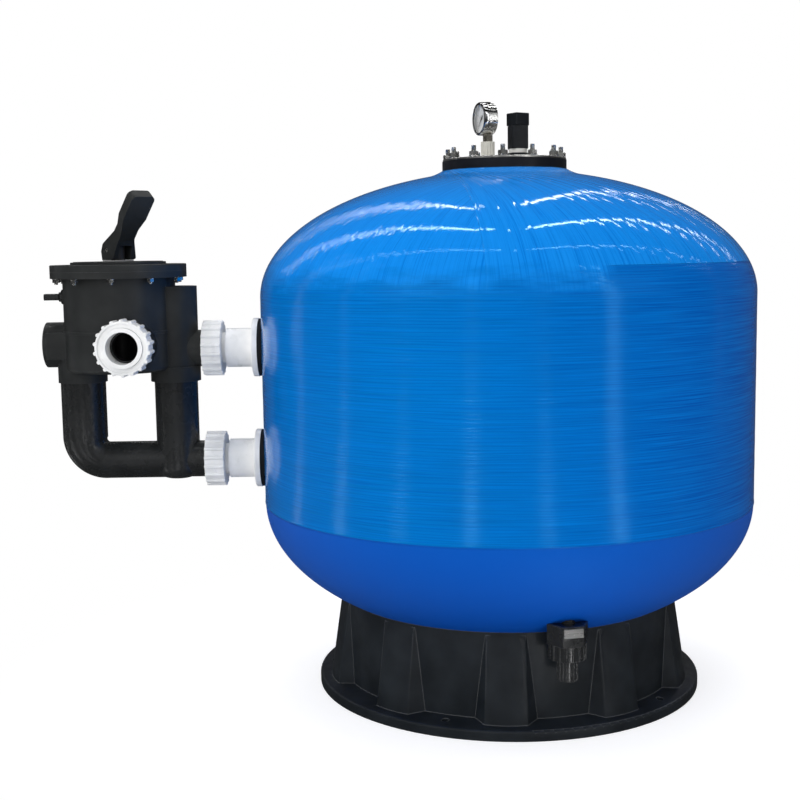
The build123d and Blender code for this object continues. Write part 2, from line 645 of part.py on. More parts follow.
with BuildPart() as valve_lid:
    disc(Plane((valve_x, 0, flange_z1)), flange_r, lid_top_z - flange_z1)
    fillet(valve_lid.edges().group_by(Axis.Z)[-1], radius=2)
    disc(Plane((valve_x, 0, flange_z1)), crown_r, crown_top_z - flange_z1)
    fillet(valve_lid.edges().group_by(Axis.Z)[-1], radius=1.5)
    disc(Plane((valve_x, 0, flange_z1)), recess_r, recess_z - flange_z1, Mode.SUBTRACT)
    disc(Plane((valve_x, 0, hub_z0)), hub_r, recess_z - hub_z0)
    with BuildSketch(Plane((valve_x, 0, flange_z1))) as lid_ribs:
        with PolarLocations(58, 8, start_angle=22.5):
            Rectangle(82, 4)
        Circle(hub_r + 12, mode=Mode.SUBTRACT)
    extrude(lid_ribs.sketch, amount=recess_z - flange_z1)
    disc(Plane((valve_x, 0, hub_z0)), stem_r + stem_fit, crown_top_z - hub_z0, Mode.SUBTRACT)
    with BuildSketch(Plane((valve_x, 0, flange_z1))) as lid_holes:
        with PolarLocations(bolt_circle_r, bolt_count, start_angle=bolt_first - 90):
            Circle(bolt_hole_r)
    extrude(lid_holes.sketch, amount=lid_top_z - flange_z1, mode=Mode.SUBTRACT)
    with BuildSketch(Plane((valve_x, 0, head_pocket_z))) as pockets:
        with PolarLocations(bolt_circle_r, bolt_count, start_angle=bolt_first - 90):
            Circle(head_pocket_r)
    extrude(pockets.sketch, amount=lid_top_z - head_pocket_z, mode=Mode.SUBTRACT)
save(valve_lid, "valve_lid")

with BuildPart() as valve_lid_oring:
    with BuildSketch(Plane.XZ) as wire:
        with Locations((lid_oring_r, flange_z1 - lid_oring_wire)):
            Circle(lid_oring_wire)
    revolve(wire.sketch, axis=Axis.Z)
valve_lid_oring.part = Pos(valve_x, 0, 0) * valve_lid_oring.part
save(valve_lid_oring, "valve_lid_oring")

with BuildPart() as valve_lid_bolts:
    with BuildSketch(Plane((valve_x, 0, bolt_tip_z))) as shanks:
        with PolarLocations(bolt_circle_r, bolt_count, start_angle=bolt_first - 90):
            Circle(bolt_r)
    extrude(shanks.sketch, amount=head_pocket_z - bolt_tip_z)
    chamfer(valve_lid_bolts.edges().group_by(Axis.Z)[0], length=0.6)
    with BuildSketch(Plane((valve_x, 0, head_pocket_z))) as heads:
        with PolarLocations(bolt_circle_r, bolt_count, start_angle=bolt_first - 90):
            RegularPolygon(head_af / 2, 6, major_radius=False)
    extrude(heads.sketch, amount=head_t)
save(valve_lid_bolts, "valve_lid_bolts")

with BuildPart() as valve_lid_washers:
    with BuildSketch(Plane((valve_x, 0, flange_z0 - bolt_washer_t))) as washers:
        with PolarLocations(bolt_circle_r, bolt_count, start_angle=bolt_first - 90):
            Circle(bolt_washer_r)
            Circle(bolt_r + loose_fit, mode=Mode.SUBTRACT)
    extrude(washers.sketch, amount=bolt_washer_t)
save(valve_lid_washers, "valve_lid_washers")

with BuildPart() as valve_lid_nuts:
    with BuildSketch(Plane((valve_x, 0, flange_z0 - bolt_washer_t - bolt_nut_t))) as nuts:
        with PolarLocations(bolt_circle_r, bolt_count, start_angle=bolt_first - 90):
            RegularPolygon(head_af / 2, 6, major_radius=False)
            Circle(bolt_r + slip_fit, mode=Mode.SUBTRACT)
    extrude(nuts.sketch, amount=bolt_nut_t)
save(valve_lid_nuts, "valve_lid_nuts")

# Rotor, spring, stem and lever. Pressing the lever down rolls its cam over the
# thrust washer and lifts the rotor off its gasket, so that it can be turned.
gasket_t = 2.0
gasket_web = 5.0
rotor_r = 99.0
rotor_z0 = deck_z1 + gasket_t + 0.1
rotor_t = 18.0
rotor_hub_r = 27.0
rotor_hub_t = 5.0
washer_z1 = 880.5
thrust_r = 31.0
cam_drop = 20.0
lift = 6.0
press_angle = 28.0
pin_z = washer_z1 + cam_drop + 0.3
pin_r = 5.0
stem_top_z = pin_z + 11.0
lean_azimuth = -45.0
lean_angle = 41.0
lean_dir = (cos(radians(lean_azimuth)), sin(radians(lean_azimuth)), 0)
pin_dir = (-sin(radians(lean_azimuth)), cos(radians(lean_azimuth)), 0)
indicator_r0 = 34.0
indicator_r1 = 90.0
spring_r = 22.0
spring_wire = 2.4
spring_turns = 4.5

with BuildPart() as rotor_gasket:
    with BuildSketch(Plane((valve_x, 0, deck_z1))) as gasket:
        Circle(window_r1 + 10)
        Circle(window_r1 + 4, mode=Mode.SUBTRACT)
        with PolarLocations(window_mid, port_count, start_angle=port_first):
            Rectangle(window_r1 - window_r0 + 10, gasket_web)
        Circle(window_r0 - 4)
        Circle(centre_post_r, mode=Mode.SUBTRACT)
    extrude(gasket.sketch, amount=gasket_t)
save(rotor_gasket, "rotor_gasket")

with BuildPart() as rotor:
    disc(Plane((valve_x, 0, rotor_z0)), rotor_r, rotor_t)
    disc(Plane((valve_x, 0, rotor_z0 + rotor_t)), rotor_hub_r, rotor_hub_t)
    with BuildSketch(Plane((valve_x, 0, rotor_z0))) as passages:
        with PolarLocations(64, 2, start_angle=45):
            RectangleRounded(44, 46, 8)
        with Locations((0, 0)):
            Circle(30)
    extrude(passages.sketch, amount=rotor_t - 5, mode=Mode.SUBTRACT)
    disc(Plane((valve_x, 0, rotor_z0)), stem_r + 0.02, rotor_t + rotor_hub_t, Mode.SUBTRACT)
save(rotor, "rotor")

with BuildPart() as rotor_stem:
    disc(Plane((valve_x, 0, rotor_z0 + rotor_t - 5)), stem_r, stem_top_z - rotor_z0 - rotor_t + 5)
    fillet(rotor_stem.edges().group_by(Axis.Z)[-1], radius=3)
    disc(Plane((valve_x, 0, rotor_z0 + rotor_t - 8)), stem_r + 6, 3)
    with BuildSketch(facing(valve_x - 40 * pin_dir[0], -40 * pin_dir[1], pin_z, pin_dir)) as pin_hole:
        Circle(pin_r + 0.02)
    extrude(pin_hole.sketch, amount=80, mode=Mode.SUBTRACT)
save(rotor_stem, "rotor_stem")

with BuildPart() as rotor_spring:
    with BuildLine(Plane((valve_x, 0, rotor_z0 + rotor_t + rotor_hub_t + spring_wire + 0.1))) as helix:
        Helix(pitch=(recess_z - rotor_z0 - rotor_t - rotor_hub_t - 2 * spring_wire - 0.2) / spring_turns,
              height=recess_z - rotor_z0 - rotor_t - rotor_hub_t - 2 * spring_wire - 0.2, radius=spring_r)
    with BuildSketch(Plane(origin=helix.line @ 0, z_dir=helix.line % 0)) as spring_section:
        Circle(spring_wire)
    sweep(spring_section.sketch, path=helix.line)
save(rotor_spring, "rotor_spring")

with BuildPart() as thrust_washer:
    tube(Plane((valve_x, 0, crown_top_z + 0.1)), thrust_r, stem_r + stem_fit, washer_z1 - crown_top_z - 0.1)
save(thrust_washer, "thrust_washer")

with BuildPart() as indicator_plate:
    tube(Plane((valve_x, 0, crown_top_z)), indicator_r1, indicator_r0, 1.0)
    with BuildSketch(Plane((valve_x, 0, crown_top_z + 0.5))) as marks:
        with PolarLocations(78, 6, start_angle=15):
            Rectangle(14, 3)
    extrude(marks.sketch, amount=0.5, mode=Mode.SUBTRACT)
save(indicator_plate, "indicator_plate")

fork_width = 54.0
fork_slot = 2 * (stem_r + 0.3)
neck_width = 36.0
blade_width = 54.0
blade_t = 20.0
lever_len = 146.0
lever_side = Plane(origin=(valve_x, 0, pin_z), x_dir=lean_dir, z_dir=(-pin_dir[0], -pin_dir[1], 0))
cam_rate = lift / radians(press_angle)


def cam_point(angle):
    """The point of the cam that stands on the washer at one lever angle."""
    reach = cam_drop + cam_rate * radians(angle)
    return (reach * sin(radians(angle)) + cam_rate * cos(radians(angle)),
            -reach * cos(radians(angle)) + cam_rate * sin(radians(angle)))


def along_lever(distance, offset):
    """A point beside the lever's leaning centre line, seen from the side."""
    return (distance * sin(radians(lean_angle)) + offset * cos(radians(lean_angle)),
            distance * cos(radians(lean_angle)) - offset * sin(radians(lean_angle)))


with BuildPart() as handle:
    with BuildSketch(lever_side) as side_view:
        with BuildLine():
            Polyline(along_lever(lever_len, -blade_t / 2), along_lever(60, -blade_t / 2),
                     (-14, 12), (-20, -2), (-17, -cam_drop), cam_point(0), cam_point(press_angle / 2),
                     cam_point(press_angle), (26, -6), along_lever(34, 13), along_lever(60, blade_t / 2),
                     along_lever(lever_len, blade_t / 2), along_lever(lever_len, -blade_t / 2))
        make_face()
    extrude(side_view.sketch, amount=34, both=True)
    flat_dir = (lean_dir[0] * cos(radians(lean_angle)), lean_dir[1] * cos(radians(lean_angle)),
                -sin(radians(lean_angle)))
    lever_front = Plane(origin=(valve_x, 0, pin_z), x_dir=pin_dir, z_dir=flat_dir)
    with BuildSketch(lever_front) as front_view:
        with BuildLine():
            Polyline((fork_width / 2, -40), (fork_width / 2, 4), (neck_width / 2, 40),
                     (neck_width / 2 + 2, 62), (blade_width / 2, 88), (blade_width / 2, lever_len - 12))
            ThreePointArc((blade_width / 2, lever_len - 12), (blade_width / 2 - 3.5, lever_len - 3.5),
                          (blade_width / 2 - 12, lever_len))
            Line((blade_width / 2 - 12, lever_len), (-blade_width / 2 + 12, lever_len))
            ThreePointArc((-blade_width / 2 + 12, lever_len), (-blade_width / 2 + 3.5, lever_len - 3.5),
                          (-blade_width / 2, lever_len - 12))
            Polyline((-blade_width / 2, lever_len - 12), (-blade_width / 2, 88),
                     (-neck_width / 2 - 2, 62), (-neck_width / 2, 40), (-fork_width / 2, 4),
                     (-fork_width / 2, -40), (fork_width / 2, -40))
        make_face()
    extrude(front_view.sketch, amount=90, both=True, mode=Mode.INTERSECT)
    with BuildSketch(lever_side) as slot_view:
        with BuildLine():
            Polyline((-40, -40), (40, -40), (40, 2), (17, 16), (-2, 18), (-40, 18), (-40, -40))
        make_face()
    extrude(slot_view.sketch, amount=fork_slot / 2, both=True, mode=Mode.SUBTRACT)
    with BuildSketch(lever_side) as eye:
        Circle(pin_r + slip_fit)
    extrude(eye.sketch, amount=40, both=True, mode=Mode.SUBTRACT)
save(handle, "handle")

with BuildPart() as handle_pin:
    with BuildSketch(lever_side) as pin:
        Circle(pin_r)
    extrude(pin.sketch, amount=fork_width / 2 - 0.5, both=True)
save(handle_pin, "handle_pin")

with BuildPart() as body_plug:
    disc(facing(valve_x - drum_r - 6, 0, plug_z, (1, 0, 0)), plug_r, 18)
    hexagon(facing(valve_x - drum_r - 5.2, 0, plug_z, (-1, 0, 0)), 17, 6)
    with BuildSketch(facing(valve_x - drum_r - 10, 0, plug_z, (-1, 0, 0))) as wing:
        RectangleRounded(wing_t, wing_w, 4)
    extrude(wing.sketch, amount=30)
save(body_plug, "body_plug")

# ------------------------------------------- unions between valve and the tank
# Each tank port is a white union on the valve's spigot, a short pipe and a
# flanged bulkhead that is clamped through the tank wall with a soft gasket.
union_nut_r = 53.0
union_nut_len = 40.0
union_overlap = 20.0
union_ribs = 18
union_rib_r = 4.0
tail_flange_r = 36.4
tail_flange_t = 9.0
tail_bore = 27.0
tail_end_x = -(tank_r + 31.0)
bulkhead_x0 = -(tank_r + 72.0)
bulkhead_flange_x = -(tank_r + 18.0)
bulkhead_gasket_x = -(tank_r + 6.0)
bulkhead_hub_r = 40.0
bulkhead_flange_r = 60.0
bulkhead_end_x = -(tank_r - 34.0)
inner_pipe_r = 25.0
backnut_x = -(tank_r - 14.5)
backnut_t = 14.0

tank_ports = {"lower": lower_port_z, "upper": upper_port_z}

with BuildPart() as union_tails:
    for port_z in tank_ports.values():
        tail_face = facing(tank_port_x + 0.2, 0, port_z, (1, 0, 0))
        tube(tail_face, tail_flange_r, tail_bore, tail_flange_t)
        tube(tail_face, pipe_r, tail_bore, tail_end_x - tank_port_x - 0.2)
save(union_tails, "union_tails")

for port_name, port_z in tank_ports.items():
    with BuildPart() as union_nut:
        gripped(facing(tank_port_x - union_overlap, 0, port_z, (1, 0, 0)), union_nut_r, union_nut_len,
                union_ribs, union_rib_r)
        chamfer(union_nut.edges().group_by(Axis.X)[0] + union_nut.edges().group_by(Axis.X)[-1], length=1.2)
        disc(facing(tank_port_x - union_overlap, 0, port_z, (1, 0, 0)), tank_port_r + slip_fit,
             union_overlap + tail_flange_t + 0.4, Mode.SUBTRACT)
        disc(facing(tank_port_x - union_overlap, 0, port_z, (1, 0, 0)), pipe_r + loose_fit, union_nut_len,
             Mode.SUBTRACT)
    save(union_nut, f"{port_name}_union_nut")

with BuildPart() as bulkheads:
    for port_z in tank_ports.values():
        disc(facing(bulkhead_x0, 0, port_z, (1, 0, 0)), bulkhead_hub_r, bulkhead_flange_x - bulkhead_x0)
        disc(facing(bulkhead_flange_x, 0, port_z, (1, 0, 0)), bulkhead_flange_r,
             bulkhead_gasket_x - bulkhead_flange_x)
        disc(facing(bulkhead_gasket_x, 0, port_z, (1, 0, 0)), shank_r, bulkhead_end_x - bulkhead_gasket_x)
        disc(facing(bulkhead_x0, 0, port_z, (1, 0, 0)), pipe_r + slip_fit, tail_end_x - bulkhead_x0 + 0.3,
             Mode.SUBTRACT)
        disc(facing(bulkhead_x0, 0, port_z, (1, 0, 0)), inner_pipe_r - 3, bulkhead_end_x - bulkhead_x0,
             Mode.SUBTRACT)
        disc(facing(-tank_r, 0, port_z, (1, 0, 0)), inner_pipe_r + slip_fit, bulkhead_end_x + tank_r,
             Mode.SUBTRACT)
    fillet(bulkheads.edges().filter_by(GeomType.CIRCLE).filter_by(
        lambda e: abs(e.radius - bulkhead_flange_r) < 0.1 and abs(e.center().X - bulkhead_flange_x) < 0.1),
        radius=3)
save(bulkheads, "bulkheads")

with BuildPart() as bulkhead_gaskets:
    for port_z in tank_ports.values():
        tube(facing(bulkhead_gasket_x, 0, port_z, (1, 0, 0)), bulkhead_flange_r - 1, shank_r + slip_fit, 14)
    disc(Plane.XY.offset(lower_port_z - 80), tank_r + 0.1, port_pitch + 160, Mode.SUBTRACT)
save(bulkhead_gaskets, "bulkhead_gaskets")

with BuildPart() as bulkhead_backnuts:
    for port_z in tank_ports.values():
        hexagon(facing(backnut_x, 0, port_z, (1, 0, 0)), 108, backnut_t)
        disc(facing(backnut_x, 0, port_z, (1, 0, 0)), shank_r + slip_fit, backnut_t, Mode.SUBTRACT)
save(bulkhead_backnuts, "bulkhead_backnuts")

# ------------------------------------------------------ pump port, front union
pump_nut_y0 = -122.0
pump_nut_len = 43.0
pump_tail_y = -166.0
pump_flange_r = 45.8
pump_flange_t = 7.0
pump_lip_r = 40.4
pump_tail_r = 40.0

with BuildPart() as pump_union_tail:
    pump_face = facing(pump_x, pump_thread_y - 0.2, pump_z, (0, -1, 0))
    disc(pump_face, pump_tail_r, pump_thread_y - 0.2 - pump_tail_y)
    disc(pump_face, pump_flange_r, pump_flange_t)
    disc(facing(pump_x, pump_thread_y + register_d - 1, pump_z, (0, -1, 0)), register_r - loose_fit,
         register_d + 1)
    disc(facing(pump_x, pump_tail_y, pump_z, (0, 1, 0)), pipe_bore, socket_d, Mode.SUBTRACT)
save(pump_union_tail, "pump_union_tail")

with BuildPart() as pump_union_nut:
    gripped(facing(pump_x, pump_nut_y0, pump_z, (0, -1, 0)), union_nut_r - 0.5, pump_nut_len, union_ribs,
            union_rib_r)
    chamfer(pump_union_nut.edges().group_by(Axis.Y)[0], length=1.2)
    disc(facing(pump_x, pump_nut_y0, pump_z, (0, -1, 0)), pump_thread_r + slip_fit,
         pump_nut_y0 - pump_thread_y + pump_flange_t + 0.4, Mode.SUBTRACT)
    disc(facing(pump_x, pump_nut_y0, pump_z, (0, -1, 0)), pump_lip_r, pump_nut_len, Mode.SUBTRACT)
    with BuildSketch(facing(pump_x, pump_nut_y0 - pump_nut_len + 3, pump_z, (0, -1, 0))) as face_recess:
        Circle(48)
    extrude(face_recess.sketch, amount=3, mode=Mode.SUBTRACT)
save(pump_union_nut, "pump_union_nut")

# --------------------------------------------- distribution pipes in the tank
inner_pipe_x = -(tank_r - 1.0)
rise_top_z = neck_face_z - 123.0
diffuser_r = 70.0
hub_r_lateral = 52.0
lateral_r = 14.0
lateral_start = 38.0
lateral_len = 0.6 * tank_r
lateral_z = 206.0
lateral_count = 8

with BuildPart() as inlet_pipe:
    with BuildLine() as inlet_path:
        FilletPolyline((inner_pipe_x, 0, upper_port_z), (0, 0, upper_port_z), (0, 0, rise_top_z), radius=60)
    with BuildSketch(facing(inner_pipe_x, 0, upper_port_z, (1, 0, 0))) as inlet_section:
        Circle(inner_pipe_r)
        Circle(inner_pipe_r - 3, mode=Mode.SUBTRACT)
    sweep(inlet_section.sketch, path=inlet_path.line)
save(inlet_pipe, "inlet_pipe")

with BuildPart() as diffuser:
    with BuildSketch(Plane.XZ) as bowl:
        with BuildLine():
            Polyline((inner_pipe_r + slip_fit, rise_top_z - 35), (inner_pipe_r + 6, rise_top_z - 35),
                     (inner_pipe_r + 6, rise_top_z - 10), (diffuser_r, rise_top_z + 25),
                     (diffuser_r, rise_top_z + 31), (inner_pipe_r - 3, rise_top_z + 5),
                     (inner_pipe_r - 3, rise_top_z + 0.2), (inner_pipe_r + slip_fit, rise_top_z + 0.2),
                     (inner_pipe_r + slip_fit, rise_top_z - 35))
        make_face()
    revolve(bowl.sketch, axis=Axis.Z)
    with BuildSketch(Plane.XY.offset(rise_top_z + 5)) as posts:
        with PolarLocations(45, 4):
            Circle(5)
    extrude(posts.sketch, amount=40)
    disc(Plane.XY.offset(rise_top_z + 45), diffuser_r, 5)
save(diffuser, "diffuser")

with BuildPart() as outlet_pipe:
    with BuildLine() as outlet_path:
        FilletPolyline((inner_pipe_x, 0, lower_port_z), (0, 0, lower_port_z),
                       (0, 0, lateral_z + 30), radius=60)
    with BuildSketch(facing(inner_pipe_x, 0, lower_port_z, (1, 0, 0))) as outlet_section:
        Circle(inner_pipe_r)
        Circle(inner_pipe_r - 3, mode=Mode.SUBTRACT)
    sweep(outlet_section.sketch, path=outlet_path.line)
save(outlet_pipe, "outlet_pipe")

with BuildPart() as lateral_hub:
    disc(Plane.XY.offset(lateral_z - 22), hub_r_lateral, 74)
    fillet(lateral_hub.edges().group_by(Axis.Z)[-1], radius=8)
    disc(Plane.XY.offset(lateral_z + 29.8), inner_pipe_r + slip_fit, 60, Mode.SUBTRACT)
    disc(Plane.XY.offset(lateral_z - 16), inner_pipe_r - 3, 80, Mode.SUBTRACT)
    for number in range(lateral_count):
        turn = radians(22.5 + number * 360 / lateral_count)
        out = (cos(turn), sin(turn), 0)
        disc(facing(30 * out[0], 30 * out[1], lateral_z, out), lateral_r + slip_fit, 40, Mode.SUBTRACT)
save(lateral_hub, "lateral_hub")

with BuildPart() as laterals:
    for number in range(lateral_count):
        turn = radians(22.5 + number * 360 / lateral_count)
        out = (cos(turn), sin(turn), 0)
        disc(facing(lateral_start * out[0], lateral_start * out[1], lateral_z, out), lateral_r,
             lateral_len - lateral_start)
        disc(facing(lateral_start * out[0], lateral_start * out[1], lateral_z, out), lateral_r - 2.5,
             lateral_len - lateral_start - 4, Mode.SUBTRACT)
save(laterals, "laterals")

# -------------------------------------------------------------- tank drain
# A moulded drain body is clamped through the bottom dome. A ribbed union nut
# holds the tail under it, and a small ribbed cap closes the tail.
drain_block_z0 = 183.0
drain_block_h = 38.0
drain_block_af = 68.0
drain_plate_w = 36.0
drain_plate_h = 16.5
drain_spigot_r = 22.0
drain_spigot_z = 160.0
drain_nut_r = 33.0
drain_nut_z0 = 155.0
drain_nut_z1 = 182.6
drain_tail_r = 15.0
drain_tail_z = 119.0
drain_cap_r = 18.2
drain_cap_z0 = 116.0
drain_cap_z1 = 149.5
drain_bore = 9.0
drain_face_z = drain_block_z0 + 26.0
drain_backnut_r = 27.0
drain_out = (sin(radians(drain_azimuth)), -cos(radians(drain_azimuth)), 0)
drain_side = (cos(radians(drain_azimuth)), sin(radians(drain_azimuth)), 0)


def drain_plane(height):
    """A level plane on the drain's axis, turned to face away from the tank."""
    return Plane(origin=(drain_x, drain_y, height), x_dir=drain_side, z_dir=(0, 0, 1))


with BuildPart() as drain_body:
    hexagon(drain_plane(drain_block_z0), drain_block_af, drain_block_h)
    fillet(drain_body.edges().filter_by(Axis.Z), radius=2)
    chamfer(drain_body.edges().group_by(Axis.Z)[-1], length=1.5)
    revolve(vessel_profile(winding_step - 0.6), axis=Axis.Z, mode=Mode.SUBTRACT)
    disc(drain_plane(drain_block_z0), drain_shank_r, 85)
    disc(drain_plane(drain_spigot_z), drain_spigot_r, drain_block_z0 - drain_spigot_z)
    disc(drain_plane(drain_spigot_z), drain_bore, 130, Mode.SUBTRACT)
save(drain_body, "drain_body")

with BuildPart() as drain_face_plate:
    with BuildSketch(Plane(origin=(drain_x + drain_out[0] * (drain_block_af / 2 + 0.05),
                                   drain_y + drain_out[1] * (drain_block_af / 2 + 0.05),
                                   drain_face_z),
                           x_dir=drain_side, z_dir=drain_out)) as face_plate:
        RectangleRounded(drain_plate_w, drain_plate_h, 1)
    extrude(face_plate.sketch, amount=2)
save(drain_face_plate, "drain_face_plate")

with BuildPart() as vessel_inside:
    revolve(vessel_profile(tank_wall + 0.2), axis=Axis.Z)

with BuildPart() as drain_backnut:
    disc(drain_plane(drain_face_z + 1), drain_backnut_r, 45)
    add(vessel_inside.part, mode=Mode.INTERSECT)
    disc(drain_plane(drain_block_z0 + 17), drain_shank_r + slip_fit, 70, Mode.SUBTRACT)
save(drain_backnut, "drain_backnut")

with BuildPart() as drain_tail:
    disc(drain_plane(drain_tail_z), drain_tail_r, drain_spigot_z - 0.2 - drain_tail_z)
    disc(drain_plane(drain_spigot_z - 2.2), drain_spigot_r - 0.5, 2)
    disc(drain_plane(drain_tail_z), drain_bore, 60, Mode.SUBTRACT)
save(drain_tail, "drain_tail")

with BuildPart() as drain_union_nut:
    gripped(drain_plane(drain_nut_z0), drain_nut_r, drain_nut_z1 - drain_nut_z0, 16, 2.4)
    disc(drain_plane(drain_spigot_z - 2.5), drain_spigot_r + slip_fit, 40, Mode.SUBTRACT)
    disc(drain_plane(drain_nut_z0), drain_tail_r + loose_fit, 10, Mode.SUBTRACT)
save(drain_union_nut, "drain_union_nut")

with BuildPart() as drain_seal:
    tube(drain_plane(drain_tail_z - 1.6), drain_tail_r - loose_fit, 5, 1.5)
save(drain_seal, "drain_seal")

with BuildPart() as drain_cap:
    gripped(drain_plane(drain_cap_z0 - 2), drain_cap_r, drain_cap_z1 - drain_cap_z0 + 2, 16, 1.3)
    disc(drain_plane(drain_tail_z - 1.7), drain_tail_r + slip_fit, 60, Mode.SUBTRACT)
save(drain_cap, "drain_cap")
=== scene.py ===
import json
import math

import bmesh
import bpy
from mathutils import Matrix, Vector, noise


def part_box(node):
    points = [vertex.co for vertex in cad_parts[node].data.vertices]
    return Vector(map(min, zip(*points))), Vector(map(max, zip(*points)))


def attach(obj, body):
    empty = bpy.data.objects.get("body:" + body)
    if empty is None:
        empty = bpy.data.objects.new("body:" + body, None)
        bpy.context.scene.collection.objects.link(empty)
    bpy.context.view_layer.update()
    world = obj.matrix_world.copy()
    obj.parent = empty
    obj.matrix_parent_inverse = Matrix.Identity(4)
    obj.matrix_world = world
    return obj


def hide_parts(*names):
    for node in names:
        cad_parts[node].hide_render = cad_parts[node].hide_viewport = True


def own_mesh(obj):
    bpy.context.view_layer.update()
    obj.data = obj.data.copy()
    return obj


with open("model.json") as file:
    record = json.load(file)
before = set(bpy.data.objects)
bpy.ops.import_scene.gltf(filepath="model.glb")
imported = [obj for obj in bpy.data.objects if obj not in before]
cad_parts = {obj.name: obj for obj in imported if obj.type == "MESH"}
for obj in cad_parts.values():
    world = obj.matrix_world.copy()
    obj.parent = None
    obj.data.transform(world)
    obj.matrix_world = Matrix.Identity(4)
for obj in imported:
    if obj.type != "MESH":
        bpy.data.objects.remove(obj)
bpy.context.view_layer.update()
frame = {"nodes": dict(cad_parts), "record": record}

nodes = frame["nodes"]


# ------------------------------------------------------------------ tank shell
# The vessel is glass fibre wound wet over a liner, then coated in clear blue
# gel. Hoops of roving wrap the barrel, slanting passes cover the top dome and
# the bottom dome is left smooth where it meets the skirt.

def finish(name):
    """A new material with its shader ready to be wired."""
    material = bpy.data.materials.new(name)
    material.use_nodes = True
    tree = material.node_tree
    return material, tree.nodes["Principled BSDF"]


def wire(tree, kind, links=(), **values):
    """Adds one shader node, sets its plain values and joins its inputs."""
    node = tree.nodes.new(kind)
    for key, value in values.items():
        setattr(node, key, value)
    for socket, source in links:
        if hasattr(source, "node"):
            tree.links.new(source, node.inputs[socket])
        else:
            node.inputs[socket].default_value = source
    return node


def sums(tree, operation, first, second=0.0, third=None):
    """One arithmetic step between sockets or plain numbers."""
    links = [(0, first), (1, second)] + ([(2, third)] if third is not None else [])
    return wire(tree, "ShaderNodeMath", links, operation=operation).outputs[0]


def speckle(tree, place, scale, detail=3.0, rough=0.55):
    """Even noise read at the given place."""
    return wire(tree, "ShaderNodeTexNoise", [("Vector", place), ("Scale", scale), ("Detail", detail),
                                             ("Roughness", rough)]).outputs["Fac"]


def spread(tree, value, low, high, to_low=0.0, to_high=1.0, smooth=False):
    """Carries a value from one span of numbers to another."""
    kind = "SMOOTHSTEP" if smooth else "LINEAR"
    return wire(tree, "ShaderNodeMapRange",
                [("Value", value), ("From Min", low), ("From Max", high), ("To Min", to_low),
                 ("To Max", to_high)],
                interpolation_type=kind).outputs[0]


def blend_colour(tree, share, first, second):
    """Mixes two colours by a share between nought and one."""
    node = tree.nodes.new("ShaderNodeMix")
    node.data_type = "RGBA"
    for socket, source in ((0, share), (6, first), (7, second)):
        if hasattr(source, "node"):
            tree.links.new(source, node.inputs[socket])
        elif socket == 0:
            node.inputs[socket].default_value = source
        else:
            node.inputs[socket].default_value = (*source, 1.0)
    return node.outputs[2]


def stretch(tree, x, y, z):
    """Object coordinates, scaled unevenly along the axes."""
    place = wire(tree, "ShaderNodeTexCoord").outputs["Object"]
    node = wire(tree, "ShaderNodeMapping", [("Vector", place)])
    node.inputs["Scale"].default_value = (x, y, z)
    return node.outputs[0]


def paint(object_, material):
    """Gives one piece its material in its only slot."""
    object_.data.materials.clear()
    object_.data.materials.append(material)


def skin(name, verts, faces, material, body="tank", slot=None):
    """Makes one closed piece from points and faces and fixes it to a body."""
    mesh = bpy.data.meshes.new(name)
    mesh.from_pydata(verts, [], faces)
    mesh.polygons.foreach_set("use_smooth", [True] * len(mesh.polygons))
    mesh.update()
    piece = bpy.data.objects.new(name, mesh)
    bpy.context.scene.collection.objects.link(piece)
    paint(piece, material)
    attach(piece, body)
    return piece


shell_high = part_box("tank_shell")[1]
tank_r = shell_high.x
barrel_low, barrel_high = 0.385, 0.800
dome_top, dome_bottom = 0.250, 0.270
smooth_line = 0.384
wall = 0.009
gel_sink, gel_lip = 0.0012, 0.0009
neck_r = 0.121
neck_bore_r = 0.100
neck_top = shell_high.z
collar_low, collar_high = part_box("neck_collar")
collar_r = collar_high.x
lip_rise, lip_width = 0.0075, 0.034
hoop_end = 0.862
hoop_pitch = 0.0058
pass_start, pass_end = math.radians(-174), math.radians(-24)
ragged_end = math.radians(-73)


